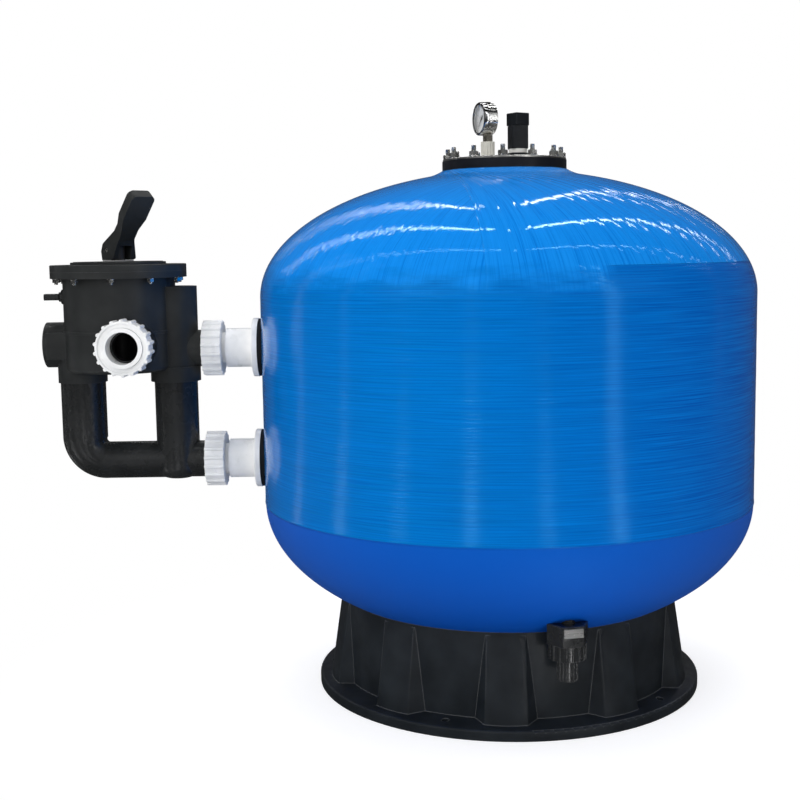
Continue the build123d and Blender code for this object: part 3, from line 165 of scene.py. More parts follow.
def wound_shell_material():
    """Clear blue gel over glass: level hoops, slanting rovings and faint clouds."""
    material, shader = finish("wound_shell")
    tree = material.node_tree
    place = wire(tree, "ShaderNodeTexCoord").outputs["Object"]
    x, y, z = wire(tree, "ShaderNodeSeparateXYZ", [("Vector", place)]).outputs
    radius = sums(tree, "SQRT", sums(tree, "ADD", sums(tree, "MULTIPLY", x, x), sums(tree, "MULTIPLY", y, y)))
    angle = sums(tree, "ARCTAN2", y, x)
    cloud = speckle(tree, stretch(tree, 3.0, 3.0, 3.0), 1.0, 2.0)
    # the crown's windings end in a clean edge on one side and fray out on the other
    above = spread(tree, z, smooth_line - 0.001, smooth_line + 0.001, smooth=True)
    tangle = speckle(tree, stretch(tree, 14.0, 14.0, 60.0), 1.0, 3.0)
    fray = sums(tree, "ADD", z, sums(tree, "MULTIPLY_ADD", tangle, 0.08, -0.04))
    frayed = spread(tree, fray, 0.812, 0.872, smooth=True)
    clean = spread(tree, z, hoop_end - 0.0006, hoop_end + 0.0006)
    side = sums(tree, "MULTIPLY", spread(tree, angle, ragged_end - 0.05, ragged_end + 0.03, smooth=True),
                spread(tree, angle, 1.2, 1.6, 1.0, 0.0, smooth=True))
    crown = sums(tree, "ADD", sums(tree, "MULTIPLY", frayed, sums(tree, "SUBTRACT", 1.0, side)),
                 sums(tree, "MULTIPLY", clean, side))
    hoops = sums(tree, "MULTIPLY", above, sums(tree, "SUBTRACT", 1.0, crown))
    # level hoops at the pitch of the roving, uneven in height and a little wavy
    wander = speckle(tree, stretch(tree, 1.6, 1.6, 34.0), 1.0, 3.0, 0.6)
    course = sums(tree, "MULTIPLY_ADD", z, 2 * math.pi / hoop_pitch, sums(tree, "MULTIPLY", wander, 24.0))
    ridge = sums(tree, "MULTIPLY_ADD", sums(tree, "SINE", course), 0.5, 0.5)
    uneven = speckle(tree, stretch(tree, 1.1, 1.1, 150.0), 1.0, 3.0, 0.7)
    thread = speckle(tree, stretch(tree, 6.0, 6.0, 520.0), 1.0, 3.0, 0.6)
    hoop_height = sums(tree, "ADD", sums(tree, "MULTIPLY", ridge, spread(tree, uneven, 0.35, 0.7, 0.1, 1.0)),
                       sums(tree, "MULTIPLY", thread, 0.6))
    # slanting rovings run tangent to the neck; the last wide pass lies over the rest
    lean = sums(tree, "ARCCOSINE", sums(tree, "MINIMUM", sums(tree, "DIVIDE", neck_r, sums(
        tree, "MAXIMUM", radius, neck_r)), 1.0))
    outward = sums(tree, "SUBTRACT", angle, lean)
    inward = sums(tree, "ADD", angle, lean)
    over = sums(tree, "MULTIPLY", spread(tree, outward, pass_start - 0.002, pass_start + 0.002),
                spread(tree, outward, pass_end - 0.002, pass_end + 0.002, 1.0, 0.0))

    def strand(turned, fine, bands, share, lay):
        """One family of rovings: fine fibres laid in overlapping bands."""
        around = wire(tree, "ShaderNodeCombineXYZ", [(0, sums(tree, "COSINE", turned)),
                                                     (1, sums(tree, "SINE", turned)),
                                                     (2, sums(tree, "MULTIPLY", radius, 0.06))]).outputs[0]
        fibre = speckle(tree, around, fine, 3.0, 0.7)
        tow = speckle(tree, around, fine * 0.36, 2.0, 0.5)
        drift = speckle(tree, around, 9.0, 2.0)
        lap = sums(tree, "FRACT", sums(tree, "MULTIPLY_ADD", turned, bands / (2 * math.pi),
                                       sums(tree, "MULTIPLY", drift, 2.0)))
        saw = sums(tree, "SMOOTH_MIN", sums(tree, "MULTIPLY", lap, 1.4),
                   sums(tree, "MULTIPLY", sums(tree, "SUBTRACT", 1.0, lap), 3.0), 0.2)
        rough_lay = sums(tree, "MULTIPLY_ADD", tow, lay, sums(tree, "MULTIPLY", fibre, 0.08))
        return fibre, sums(tree, "ADD", rough_lay, sums(tree, "MULTIPLY", saw, share))

    top_fibre, top_strand = strand(outward, 150.0, 84.0, 0.95, 0.35)
    low_fibre, low_strand = strand(inward, 150.0, 150.0, 0.15, 1.4)
    bare = sums(tree, "SUBTRACT", 1.0, over)
    fibre = sums(tree, "ADD", sums(tree, "MULTIPLY", top_fibre, over),
                 sums(tree, "MULTIPLY", low_fibre, bare))
    strands = sums(tree, "ADD", sums(tree, "MULTIPLY", sums(tree, "MULTIPLY", top_strand, over), 0.60),
                   sums(tree, "MULTIPLY", sums(tree, "MULTIPLY", low_strand, bare), 0.50))
    # heights are in millimetres
    slow = sums(tree, "MULTIPLY", speckle(tree, stretch(tree, 9.0, 9.0, 2.0), 1.0, 2.0), 0.2)
    level = sums(tree, "MULTIPLY", sums(tree, "MULTIPLY", hoop_height, hoops), 0.20)
    build_up = sums(tree, "MULTIPLY", sums(tree, "MULTIPLY", over, crown), 1.2)
    height = sums(tree, "ADD", sums(tree, "ADD", level, sums(tree, "MULTIPLY", strands, crown)),
                  sums(tree, "ADD", build_up, slow))
    bump = wire(tree, "ShaderNodeBump", [("Height", height), ("Strength", 1.0), ("Distance", 0.001)])
    # colour: deeper between ridges, greyer where dry glass shows near the neck, and painted shade darkening
    # the barrel towards its right side
    clouded = blend_colour(tree, spread(tree, cloud, 0.3, 0.7), (0.0, 0.136, 0.450), (0.0, 0.168, 0.535))
    # painted shade: the barrel's colour darkens towards the right, where less light falls
    shade_right = sums(tree, "MULTIPLY", spread(tree, x, -0.25, 0.40, smooth=True), 0.75)
    body = blend_colour(tree, shade_right, clouded, (0.0, 0.060, 0.405))
    toned = blend_colour(tree, above, (0.0, 0.082, 0.500), body)
    line = spread(tree, thread, 0.32, 0.68)
    lined = blend_colour(tree, sums(tree, "MULTIPLY", hoops, sums(tree, "MULTIPLY", line, 0.75)), toned,
                         (0.0, 0.198, 0.690))
    groove = sums(tree, "MULTIPLY", hoops, spread(tree, ridge, 0.0, 0.40, 0.35, 0.0))
    grooved = blend_colour(tree, groove, lined, (0.0, 0.070, 0.430))
    topped = blend_colour(tree, crown, grooved, (0.004, 0.225, 0.760))
    streak = sums(tree, "MULTIPLY", crown, spread(tree, fibre, 0.36, 0.64, 0.0, 0.55))
    streaked = blend_colour(tree, streak, topped, (0.012, 0.290, 0.880))
    shade = sums(tree, "MULTIPLY", crown, spread(tree, fibre, 0.46, 0.30, 0.0, 0.5))
    shaded = blend_colour(tree, shade, streaked, (0.0, 0.120, 0.560))
    dry = sums(tree, "MULTIPLY", sums(tree, "MULTIPLY", over, spread(tree, fibre, 0.5, 0.72)),
               spread(tree, radius, 0.14, 0.27, 0.8, 0.0, smooth=True))
    colour = blend_colour(tree, dry, shaded, (0.22, 0.42, 0.74))
    tree.links.new(colour, shader.inputs["Base Color"])
    tree.links.new(bump.outputs[0], shader.inputs["Normal"])
    gloss = sums(tree, "ADD", spread(tree, hoops, 0.0, 1.0, 0.0, 0.16),
                 sums(tree, "ADD", spread(tree, crown, 0.0, 1.0, 0.0, 0.06),
                      spread(tree, above, 0.0, 1.0, 0.62, 0.0)))
    tree.links.new(gloss, shader.inputs["Roughness"])
    shader.inputs["Specular IOR Level"].default_value = 0.5
    shader.inputs["Specular Tint"].default_value = (0.15, 0.64, 1.0, 1.0)
    return material


def shell_outline():
    """Radius and height of the outside, from the bottom pole to the neck."""
    dome_rings, barrel_rings, crown_rings = 71, 97, 109
    course = []
    for step in range(dome_rings):
        turn = math.pi / 2 * (1 - step / dome_rings)
        course.append(((tank_r - gel_sink) * math.cos(turn), barrel_low - dome_bottom * math.sin(turn)))
    course = [point for point in course if point[1] < smooth_line - 0.0005]
    cut = (tank_r - gel_sink) * math.sqrt(1 - ((barrel_low - smooth_line) / dome_bottom) ** 2)
    course += [(cut, smooth_line - 0.0004), (cut + gel_lip, smooth_line)]
    for step in range(barrel_rings):
        course.append((tank_r, barrel_low + (barrel_high - barrel_low) * step / barrel_rings))
    lip_r = collar_r + 0.0008
    flare_r = collar_r + lip_width
    for step in range(crown_rings + 1):
        turn = math.pi / 2 * step / crown_rings
        radius = tank_r * math.cos(turn)
        if radius > lip_r:
            rise = lip_rise * max((flare_r - radius) / (flare_r - lip_r), 0.0) ** 2
            course.append((radius, barrel_high + dome_top * math.sin(turn) + rise))
    foot = barrel_high + dome_top * math.sqrt(1 - (neck_r / tank_r) ** 2)
    lip = barrel_high + dome_top * math.sqrt(1 - (lip_r / tank_r) ** 2) + lip_rise
    return course + [(lip_r, lip), (lip_r - 0.0003, collar_low.z - 0.0006), (neck_r, foot),
                     (neck_r, neck_top), (neck_bore_r, neck_top)]


def wound_shell():
    """The vessel's outer skin, with the uneven build-up of the windings."""
    rings = shell_outline()
    around = 320
    verts, faces = [(0.0, 0.0, barrel_low - dome_bottom)], []
    for radius, height in rings[1:]:
        wound = min(max((height - smooth_line) / 0.01, 0.0), 1.0) * min(max((radius - 0.13) / 0.05, 0.0), 1.0)
        hooped = min(max((hoop_end - height) / 0.05, 0.0), 1.0)
        for step in range(around):
            turn = 2 * math.pi * step / around
            px, py = math.cos(turn), math.sin(turn)
            hoop = noise.noise(Vector((px * 0.8, py * 0.8, height * 55.0))) * hooped
            slow = noise.noise(Vector((px * 2.2, py * 2.2, height * 4.0 + 7.0)))
            sink = wound * (0.00045 * (1 - hoop) + 0.0006 * (1 - slow)) * 0.5
            verts.append((px * (radius - sink), py * (radius - sink), height))
    count = len(rings) - 1
    for step in range(around):
        beside = (step + 1) % around
        faces.append((0, 1 + beside, 1 + step))
        for ring in range(count - 1):
            low, high = 1 + ring * around, 1 + (ring + 1) * around
            faces.append((low + step, low + beside, high + beside, high + step))
    # the inside follows a wall's thickness further in, with fewer rings
    inner_rings = 12
    inner = [(neck_bore_r, neck_top - 0.02)]
    for step in range(1, inner_rings + 1):
        turn = math.pi / 2 * (1 - step / inner_rings)
        inner.append((max((tank_r - wall) * math.cos(turn), neck_bore_r),
                      barrel_high + (dome_top - wall) * math.sin(turn)))
    for step in range(inner_rings + 1):
        turn = math.pi / 2 * step / (inner_rings + 1)
        inner.append(((tank_r - wall) * math.cos(turn), barrel_low - (dome_bottom - wall) * math.sin(turn)))
    start = len(verts)
    for radius, height in inner:
        for step in range(around):
            turn = 2 * math.pi * step / around
            verts.append((math.cos(turn) * radius, math.sin(turn) * radius, height))
    last_outer = 1 + (count - 1) * around
    rows = [last_outer] + [start + ring * around for ring in range(len(inner))]
    for step in range(around):
        beside = (step + 1) % around
        for near, far in zip(rows, rows[1:]):
            faces.append((near + step, near + beside, far + beside, far + step))
    verts.append((0.0, 0.0, barrel_low - dome_bottom + wall))
    for step in range(around):
        faces.append((rows[-1] + step, rows[-1] + (step + 1) % around, len(verts) - 1))
    return verts, faces


shell_finish = wound_shell_material()
shell = skin("wound_vessel", *wound_shell(), shell_finish, slot="wound_shell")
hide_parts("tank_shell")


# -------------------------------------------------------------------- tank base
# A round skirt moulded in black plastic carries the vessel: an upright wall
# with ten square pads, on a wide foot ring with anchor holes.

def moulded(name, colour, rough, grain=0.0, grain_size=900.0, gloss=0.35, edge=0.0008, dust=0.0, edge_highlight=0.0):
    """Moulded plastic: even colour, fine grain, softened edges, a little dust and, if asked, a painted
    highlight on its edges.
    """
    material, shader = finish(name)
    tree = material.node_tree
    place = wire(tree, "ShaderNodeTexCoord").outputs["Object"]
    rounded = wire(tree, "ShaderNodeBevel", samples=4)
    rounded.inputs["Radius"].default_value = edge
    wide = speckle(tree, place, 14.0, 3.0)
    light = tuple(min(c * 1.5 + 0.004, 1.0) for c in colour)
    base = blend_colour(tree, spread(tree, wide, 0.35, 0.7), colour, light)
    if dust:
        fleck = spread(tree, speckle(tree, place, 160.0, 6.0, 0.7), 0.60, 0.78, smooth=True)
        base = blend_colour(tree, sums(tree, "MULTIPLY", fleck, dust), base, (0.35, 0.34, 0.32))
    # painted highlight: the edges are lightened towards pale grey, standing in for light caught along them
    if edge_highlight:
        bend = wire(tree, "ShaderNodeVectorMath", [(0, rounded.outputs[0]), (1, wire(
            tree, "ShaderNodeNewGeometry").outputs["Normal"])], operation="DOT_PRODUCT").outputs["Value"]
        base = blend_colour(tree, spread(tree, bend, 0.995, 0.90, 0.0, edge_highlight), base, (0.16, 0.165, 0.17))
    tree.links.new(base, shader.inputs["Base Color"])
    tree.links.new(spread(tree, speckle(tree, place, 38.0, 4.0), 0.3, 0.7, rough - 0.05, rough + 0.08),
                   shader.inputs["Roughness"])
    shader.inputs["Specular IOR Level"].default_value = gloss
    normal = rounded.outputs[0]
    if grain:
        normal = wire(tree, "ShaderNodeBump", [("Height", speckle(tree, place, grain_size, 2.0)),
                                               ("Strength", grain), ("Distance", 0.0006),
                                               ("Normal", normal)]).outputs[0]
    tree.links.new(normal, shader.inputs["Normal"])
    return material


def metal(name, colour, rough, streak=(1.0, 1.0, 60.0), depth=0.05, edge=0.0005):
    """Bright metal with fine drawn or turned marks."""
    material, shader = finish(name)
    tree = material.node_tree
    marks = speckle(tree, stretch(tree, *streak), 12.0, 4.0, 0.6)
    base = blend_colour(tree, spread(tree, marks, 0.35, 0.65), colour, tuple(c * 0.82 for c in colour))
    tree.links.new(base, shader.inputs["Base Color"])
    tree.links.new(spread(tree, marks, 0.3, 0.7, rough * 0.75, rough * 1.3), shader.inputs["Roughness"])
    shader.inputs["Metallic"].default_value = 1.0
    rounded = wire(tree, "ShaderNodeBevel", samples=4)
    rounded.inputs["Radius"].default_value = edge
    bump = wire(tree, "ShaderNodeBump", [("Height", marks), ("Strength", depth), ("Distance", 0.0004),
                                         ("Normal", rounded.outputs[0])])
    tree.links.new(bump.outputs[0], shader.inputs["Normal"])
    return material


def rounding_tree():
    """Joins a piece's loose facets and smooths every seam flatter than its limit."""
    tree = bpy.data.node_groups.new("smooth_facets", "GeometryNodeTree")
    tree.interface.new_socket("Geometry", in_out="INPUT", socket_type="NodeSocketGeometry")
    limit = tree.interface.new_socket("Sharp Angle", in_out="INPUT", socket_type="NodeSocketFloat")
    limit.default_value = math.radians(28)
    tree.interface.new_socket("Geometry", in_out="OUTPUT", socket_type="NodeSocketGeometry")
    start = tree.nodes.new("NodeGroupInput")
    end = tree.nodes.new("NodeGroupOutput")
    merge = tree.nodes.new("GeometryNodeMergeByDistance")
    merge.inputs["Distance"].default_value = 0.000004
    soft = tree.nodes.new("GeometryNodeSetShadeSmooth")
    sharp = tree.nodes.new("GeometryNodeSetShadeSmooth")
    sharp.domain = "EDGE"
    sharp.inputs["Shade Smooth"].default_value = False
    bend = tree.nodes.new("GeometryNodeInputMeshEdgeAngle")
    steep = tree.nodes.new("FunctionNodeCompare")
    steep.operation = "GREATER_THAN"
    tree.links.new(bend.outputs["Unsigned Angle"], steep.inputs[0])
    tree.links.new(start.outputs["Sharp Angle"], steep.inputs[1])
    tree.links.new(start.outputs["Geometry"], merge.inputs["Geometry"])
    tree.links.new(merge.outputs[0], soft.inputs["Geometry"])
    tree.links.new(soft.outputs[0], sharp.inputs["Geometry"])
    tree.links.new(steep.outputs[0], sharp.inputs["Selection"])
    tree.links.new(sharp.outputs[0], end.inputs["Geometry"])
    return tree


facet_smoother = rounding_tree()


def dress(material, *names):
    """Gives carried-over parts their finish and smooth curved faces."""
    for name in names:
        paint(nodes[name], material)
        smoother = nodes[name].modifiers.new("smooth facets", "NODES")
        smoother.node_group = facet_smoother


# the skirt's edges carry a strong painted highlight
skirt_finish = moulded("skirt_plastic", (0.0105, 0.014, 0.018), 0.42, grain=0.10, gloss=0.40, dust=0.03,
                       edge=0.0025, edge_highlight=0.8)
dress(skirt_finish, "tank_base")


# ----------------------------------------------------------------- neck closure
# A moulded collar grips the neck. A stainless plate closes it over a rubber
# seal, held by twelve studs with washers and nuts.

collar_finish = moulded("collar_plastic", (0.007, 0.007, 0.009), 0.42, grain=0.06, gloss=0.4)
rubber_finish = moulded("seal_rubber", (0.008, 0.008, 0.008), 0.7, grain=0.1, gloss=0.2)
plate_finish = metal("closure_steel", (0.74, 0.74, 0.72), 0.26)
stud_finish = metal("stud_steel", (0.74, 0.74, 0.72), 0.20)
dress(collar_finish, "neck_collar")
dress(rubber_finish, "neck_seal", "valve_lid_oring", "rotor_gasket", "bulkhead_gaskets", "vent_seal",
      "drain_seal")
dress(plate_finish, "lid_plate")


def lathe(profile, around):
    """A turned solid. Each profile step gives a radius and a height, or a rule for both round the axis."""
    verts, faces, rows = [], [], []
    for point in profile:
        if not callable(point) and point[0] == 0.0:
            rows.append([len(verts)] * around)
            verts.append((0.0, 0.0, point[1]))
            continue
        rows.append(list(range(len(verts), len(verts) + around)))
        for step in range(around):
            turn = 2 * math.pi * step / around
            radius, height = point(turn) if callable(point) else point
            verts.append((radius * math.cos(turn), radius * math.sin(turn), height))
    pairs = list(zip(rows, rows[1:]))
    if rows[0][0] != rows[0][1]:
        pairs.append((rows[-1], rows[0]))
    for low, high in pairs:
        for step in range(around):
            beside = (step + 1) % around
            faces.append(tuple(dict.fromkeys((low[step], low[beside], high[beside], high[step]))))
    return verts, faces


def hexagon_edge(flats, height, inset=0.0, fall=0.0):
    """One ring of a hexagon: its turned-off corners reach less far, or start lower."""
    def rule(turn):
        reach = flats / 2 / math.cos((turn + math.pi / 6) % (math.pi / 3) - math.pi / 6)
        cut = max(reach - flats * 0.485, 0.0)
        return reach - cut * inset, height - cut * fall
    return rule


def nut(flats, low, high, bore):
    """A hexagon nut with turned corners and a countersunk bore."""
    sink = bore * 0.14
    return lathe([hexagon_edge(flats, low, 1.0), hexagon_edge(flats, low, 0.0, -0.58),
                  hexagon_edge(flats, high, 0.0, 0.58), hexagon_edge(flats, high, 1.0),
                  (bore + sink, high), (bore, high - sink), (bore, low + sink), (bore + sink, low)], 48)


def thread(radius, low, high, pitch):
    """Rings of a cut thread that climbs one pitch a turn and fades out at both ends."""
    rows = []
    count = round((high - low) / pitch * 5)
    for ring in range(count + 1):
        height = low + (high - low) * ring / count
        ease = max(min((high - height) / pitch, (height - low) / pitch, 1.0), 0.0)

        def rule(turn, height=height, ease=ease):
            share = (height / pitch - turn / (2 * math.pi)) % 1.0
            return radius - pitch * (0.55 * abs(2 * share - 1) * ease + 0.5 * (1.0 - ease)), height
        rows.append(rule)
    return rows


def ring_tree():
    """Sets copies of one part round an arc, each turned a little at random."""
    tree = bpy.data.node_groups.new("parts_on_arc", "GeometryNodeTree")
    tree.interface.new_socket("Geometry", in_out="INPUT", socket_type="NodeSocketGeometry")
    for name, kind in (("Count", "NodeSocketInt"), ("Radius", "NodeSocketFloat"),
                       ("First Angle", "NodeSocketFloat"), ("Step Angle", "NodeSocketFloat"),
                       ("Loose Turn", "NodeSocketFloat"), ("Seed", "NodeSocketInt"),
                       ("Finish", "NodeSocketMaterial")):
        tree.interface.new_socket(name, in_out="INPUT", socket_type=kind)
    tree.interface.new_socket("Geometry", in_out="OUTPUT", socket_type="NodeSocketGeometry")
    start, end = tree.nodes.new("NodeGroupInput"), tree.nodes.new("NodeGroupOutput")
    given = start.outputs
    points = wire(tree, "GeometryNodeMeshLine", [("Count", given["Count"]), ("Offset", (0.0, 0.0, 0.0))])
    angle = sums(tree, "MULTIPLY_ADD", wire(tree, "GeometryNodeInputIndex").outputs[0], given["Step Angle"],
                 given["First Angle"])
    along_x = sums(tree, "MULTIPLY", sums(tree, "COSINE", angle), given["Radius"])
    along_y = sums(tree, "MULTIPLY", sums(tree, "SINE", angle), given["Radius"])
    place = wire(tree, "ShaderNodeCombineXYZ", [(0, along_x), (1, along_y)])
    moved = wire(tree, "GeometryNodeSetPosition", [("Geometry", points.outputs[0]),
                                                   ("Position", place.outputs[0])])
    chance = wire(tree, "FunctionNodeRandomValue", [("Seed", given["Seed"])], data_type="FLOAT")
    slack = sums(tree, "MULTIPLY", sums(tree, "SUBTRACT", chance.outputs[1], 0.5), given["Loose Turn"])
    facing = wire(tree, "ShaderNodeCombineXYZ", [(2, sums(tree, "ADD", angle, slack))])
    turned = wire(tree, "FunctionNodeEulerToRotation", [(0, facing.outputs[0])])
    copies = wire(tree, "GeometryNodeInstanceOnPoints", [("Points", moved.outputs[0]),
                                                         ("Instance", given["Geometry"]),
                                                         ("Rotation", turned.outputs[0])])
    real = wire(tree, "GeometryNodeRealizeInstances", [("Geometry", copies.outputs[0])])
    finished = wire(tree, "GeometryNodeSetMaterial", [("Geometry", real.outputs[0]),
                                                      ("Material", given["Finish"])])
    tree.links.new(finished.outputs[0], end.inputs[0])
    return tree


arc_of_parts = ring_tree()


def arrange(name, shape, material, count, radius, first, step=None, centre=Matrix(), loose=0.0, sharp=30.0):
    """Lays copies of one part round an arc and keeps the result as one plain mesh."""
    mesh = bpy.data.meshes.new(name)
    mesh.from_pydata(shape[0], [], shape[1])
    piece = bpy.data.objects.new(name, mesh)
    bpy.context.scene.collection.objects.link(piece)
    layout = piece.modifiers.new("arc", "NODES")
    layout.node_group = arc_of_parts
    sockets = arc_of_parts.interface.items_tree
    keys = {item.name: item.identifier for item in sockets if item.in_out == "INPUT"}
    turn = 360 / count if step is None else step
    for key, value in (("Count", count), ("Radius", radius), ("First Angle", math.radians(first)),
                       ("Step Angle", math.radians(turn)), ("Loose Turn", loose), ("Seed", 7),
                       ("Finish", material)):
        layout[keys[key]] = value
    graph = bpy.context.evaluated_depsgraph_get()
    piece.data = bpy.data.meshes.new_from_object(piece.evaluated_get(graph), depsgraph=graph)
    piece.modifiers.clear()
    piece.data.transform(centre)
    piece.data.polygons.foreach_set("use_smooth", [True] * len(piece.data.polygons))
    piece.data.set_sharp_from_angle(angle=math.radians(sharp))
    return piece


def fix(piece, body, slot, *stands_for):
    """Fixes a finished piece to its body and hides the carried-over parts it stands for."""
    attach(piece, body)
    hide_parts(*stands_for)


plate_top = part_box("lid_plate")[1].z
stud_low, stud_high = (corner.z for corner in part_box("lid_studs"))
washer_low, washer_high = (corner.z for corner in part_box("lid_washers"))
nut_low, nut_high = (corner.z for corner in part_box("lid_nuts"))
stud_ring, stud_first, stud_r = 0.114, -96.0, 0.005
stud_shape = lathe([(0.0, stud_low), (stud_r, stud_low), (stud_r, plate_top)]
                   + thread(stud_r, plate_top + 0.0001, stud_high - 0.0003, 0.0015) + [(0.0, stud_high)], 24)
washer_shape = lathe([(0.0094, washer_low), (0.0098, washer_low + 0.0005), (0.0098, washer_high - 0.0005),
                      (0.0093, washer_high), (stud_r + 0.0005, washer_high),
                      (stud_r + 0.0005, washer_low)], 32)
nut_shape = nut(0.017, nut_low, nut_high, stud_r)
stud_count = 12
for name, shape, loose, slot, node in (("neck_studs", stud_shape, 3.0, "stud_steel", "lid_studs"),
                                       ("neck_washers", washer_shape, 3.0, "washer_steel", "lid_washers"),
                                       ("neck_nuts", nut_shape, 1.0, "nut_steel", "lid_nuts")):
    fix(arrange(name, shape, stud_finish, stud_count, stud_ring, stud_first, loose=loose), "tank", slot, node)


# ------------------------------------------------------------------------ gauge
# A dial gauge in a polished stainless case on a square plated stem, screwed
# into a pale ribbed adaptor.

pale_finish = moulded("adaptor_plastic", (0.62, 0.61, 0.56), 0.35, grain=0.05)
stem_finish = metal("gauge_brass", (0.66, 0.62, 0.54), 0.3)
case_finish = metal("gauge_steel", (0.70, 0.70, 0.69), 0.16)
bezel_finish = metal("bezel_chrome", (0.50, 0.50, 0.51), 0.10)
works_finish = metal("movement_brass", (0.7, 0.5, 0.25), 0.35)
dial_finish = moulded("dial_white", (0.80, 0.80, 0.79), 0.4)
needle_finish = moulded("needle_black", (0.004, 0.004, 0.004), 0.4)
dress(pale_finish, "gauge_adaptor")
dress(stem_finish, "gauge_stem")
dress(case_finish, "gauge_case")
dress(bezel_finish, "gauge_bezel")
dress(works_finish, "bourdon_tube", "gauge_movement")
dress(dial_finish, "gauge_dial")
dress(needle_finish, "gauge_needle")
dress(rubber_finish, "gauge_fill_plug")
lens_finish, lens_shader = finish("gauge_glass")
lens_shader.inputs["Transmission Weight"].default_value = 1.0
lens_shader.inputs["Roughness"].default_value = 0.03
lens_shader.inputs["IOR"].default_value = 1.45
lens_shader.inputs["Alpha"].default_value = 0.15
dress(lens_finish, "gauge_lens")

sweep = next(joint for joint in frame["record"]["behaviour"]["joints"] if joint["name"] == "needle_sweep")
ahead_of_dial = -Vector(sweep["axis"])
dial_across = Vector((-ahead_of_dial.y, ahead_of_dial.x, 0.0))
dial_face = Vector(sweep["pos_m"]) - ahead_of_dial * 0.00119
dial_plane = Matrix((dial_across, (0.0, 0.0, 1.0), ahead_of_dial)).transposed().to_4x4()
dial_plane.translation = dial_face
ink_finish = moulded("dial_print", (0.006, 0.006, 0.007), 0.6, edge=0.00005)


def slab(inner, outer, width, thick):
    """A thin upright-edged bar that lies outward along the X axis."""
    corners = [(x, y, z) for z in (0.0, thick) for x, y in ((inner, -width / 2), (outer, -width / 2),
                                                            (outer, width / 2), (inner, width / 2))]
    return corners, [(3, 2, 1, 0), (4, 5, 6, 7), (0, 1, 5, 4), (1, 2, 6, 5), (2, 3, 7, 6), (3, 0, 4, 7)]


def print_on(name, shapes, material, body="tank"):
    """Joins several meshes, each with its own place, as one printed or moulded piece."""
    joined = bmesh.new()
    for mesh, place in shapes:
        mesh.transform(place)
        joined.from_mesh(mesh)
    mesh = bpy.data.meshes.new(name)
    joined.to_mesh(mesh)
    joined.free()
    piece = bpy.data.objects.new(name, mesh)
    bpy.context.scene.collection.objects.link(piece)
    paint(piece, material)
    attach(piece, body)
    return piece


def numeral(text, size, thick):
    """One plain number as a solid mesh, centred on its own origin."""
    curve = bpy.data.curves.new(f"number {text}", "FONT")
    curve.body = text
    curve.size = size
    curve.extrude = thick / 2
    curve.align_x = "CENTER"
    curve.align_y = "CENTER"
    holder = bpy.data.objects.new(f"number {text}", curve)
    bpy.context.scene.collection.objects.link(holder)
    graph = bpy.context.evaluated_depsgraph_get()
    mesh = bpy.data.meshes.new_from_object(holder.evaluated_get(graph), depsgraph=graph)
    bpy.data.objects.remove(holder)
    return mesh


zero_angle, full_sweep = 225.0, 270.0
scale_r, number_r, number_size, ink_thick = 0.0266, 0.0186, 0.0062, 0.0001
for name, count, inner, width in (("dial_minor_marks", 41, 0.0243, 0.0003),
                                  ("dial_major_marks", 9, 0.0226, 0.0007)):
    marks = arrange(name, slab(inner, scale_r, width, ink_thick), ink_finish, count, 0.0, zero_angle,
                    -full_sweep / (count - 1), dial_plane)
    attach(marks, "tank")
dial_numbers = []
for number in range(5):
    turn = math.radians(zero_angle - full_sweep * number / 4)
    spot = Matrix.Translation((number_r * math.cos(turn), number_r * math.sin(turn), 0.00006))
    dial_numbers.append((numeral(str(number), number_size, ink_thick), dial_plane @ spot))
print_on("dial_numbers", dial_numbers, ink_finish)


# ------------------------------------------------------------------------- vent
# A manual air bleed of black moulded plastic, square in section. It is screwed
# through the closure plate on a white washer, and its cap unscrews by hand to
# let trapped air out.

vent_finish = moulded("vent_plastic", (0.008, 0.010, 0.013), 0.35, grain=0.05)
vent_washer_finish = moulded("vent_washer_white", (0.7, 0.7, 0.66), 0.4)
dress(vent_finish, "vent_locknut", "vent_body", "vent_cap")
dress(vent_washer_finish, "vent_washer")


# ------------------------------------------------------------------------ valve
# The lever valve is moulded in black plastic. Ten steel bolts hold its lid down
# over a seal, a spring presses the rotor on its seat, and a moulded pipe loop
# hangs under the body.

# the valve's and the pipe loop's edges carry a faint painted highlight
valve_finish = moulded("valve_plastic", (0.017, 0.0185, 0.019), 0.40, grain=0.10, gloss=0.35, dust=0.03,
                       edge_highlight=0.35)
loop_finish = moulded("pipe_plastic", (0.013, 0.014, 0.0145), 0.26, grain=0.04, gloss=0.45, edge_highlight=0.2)
dress(valve_finish, "valve_body", "valve_lid", "indicator_plate", "handle", "body_plug")
dress(loop_finish, "port_loop")
dress(stud_finish, "handle_pin")

valve_low, valve_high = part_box("valve_lid")
valve_axis = Matrix.Translation(((valve_low.x + valve_high.x) / 2, 0.0, 0.0))
bolt_low, bolt_high = (corner.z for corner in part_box("valve_lid_bolts"))
bolt_washer_low, bolt_washer_high = (corner.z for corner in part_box("valve_lid_washers"))
bolt_nut_low, bolt_nut_high = (corner.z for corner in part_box("valve_lid_nuts"))
bolt_count, bolt_ring, bolt_first, bolt_r = 10, 0.126, -85.0, 0.004
head_low = bolt_high - 0.0053
bolt_shape = lathe([(0.0, bolt_low)] + thread(bolt_r, bolt_low + 0.0003, bolt_nut_low, 0.00125)
                   + [(bolt_r, bolt_nut_low + 0.0002), (bolt_r, head_low), hexagon_edge(0.013, head_low),
                      hexagon_edge(0.013, bolt_high, 0.0, 0.58), hexagon_edge(0.013, bolt_high, 1.0),
                      (0.0, bolt_high)], 48)
bolt_washer_shape = lathe([(0.0076, bolt_washer_low), (0.0079, bolt_washer_low + 0.0004),
                           (0.0079, bolt_washer_high - 0.0004), (0.0076, bolt_washer_high),
                           (bolt_r + 0.0005, bolt_washer_high), (bolt_r + 0.0005, bolt_washer_low)], 32)
bolt_nut_shape = nut(0.013, bolt_nut_low, bolt_nut_high, bolt_r)
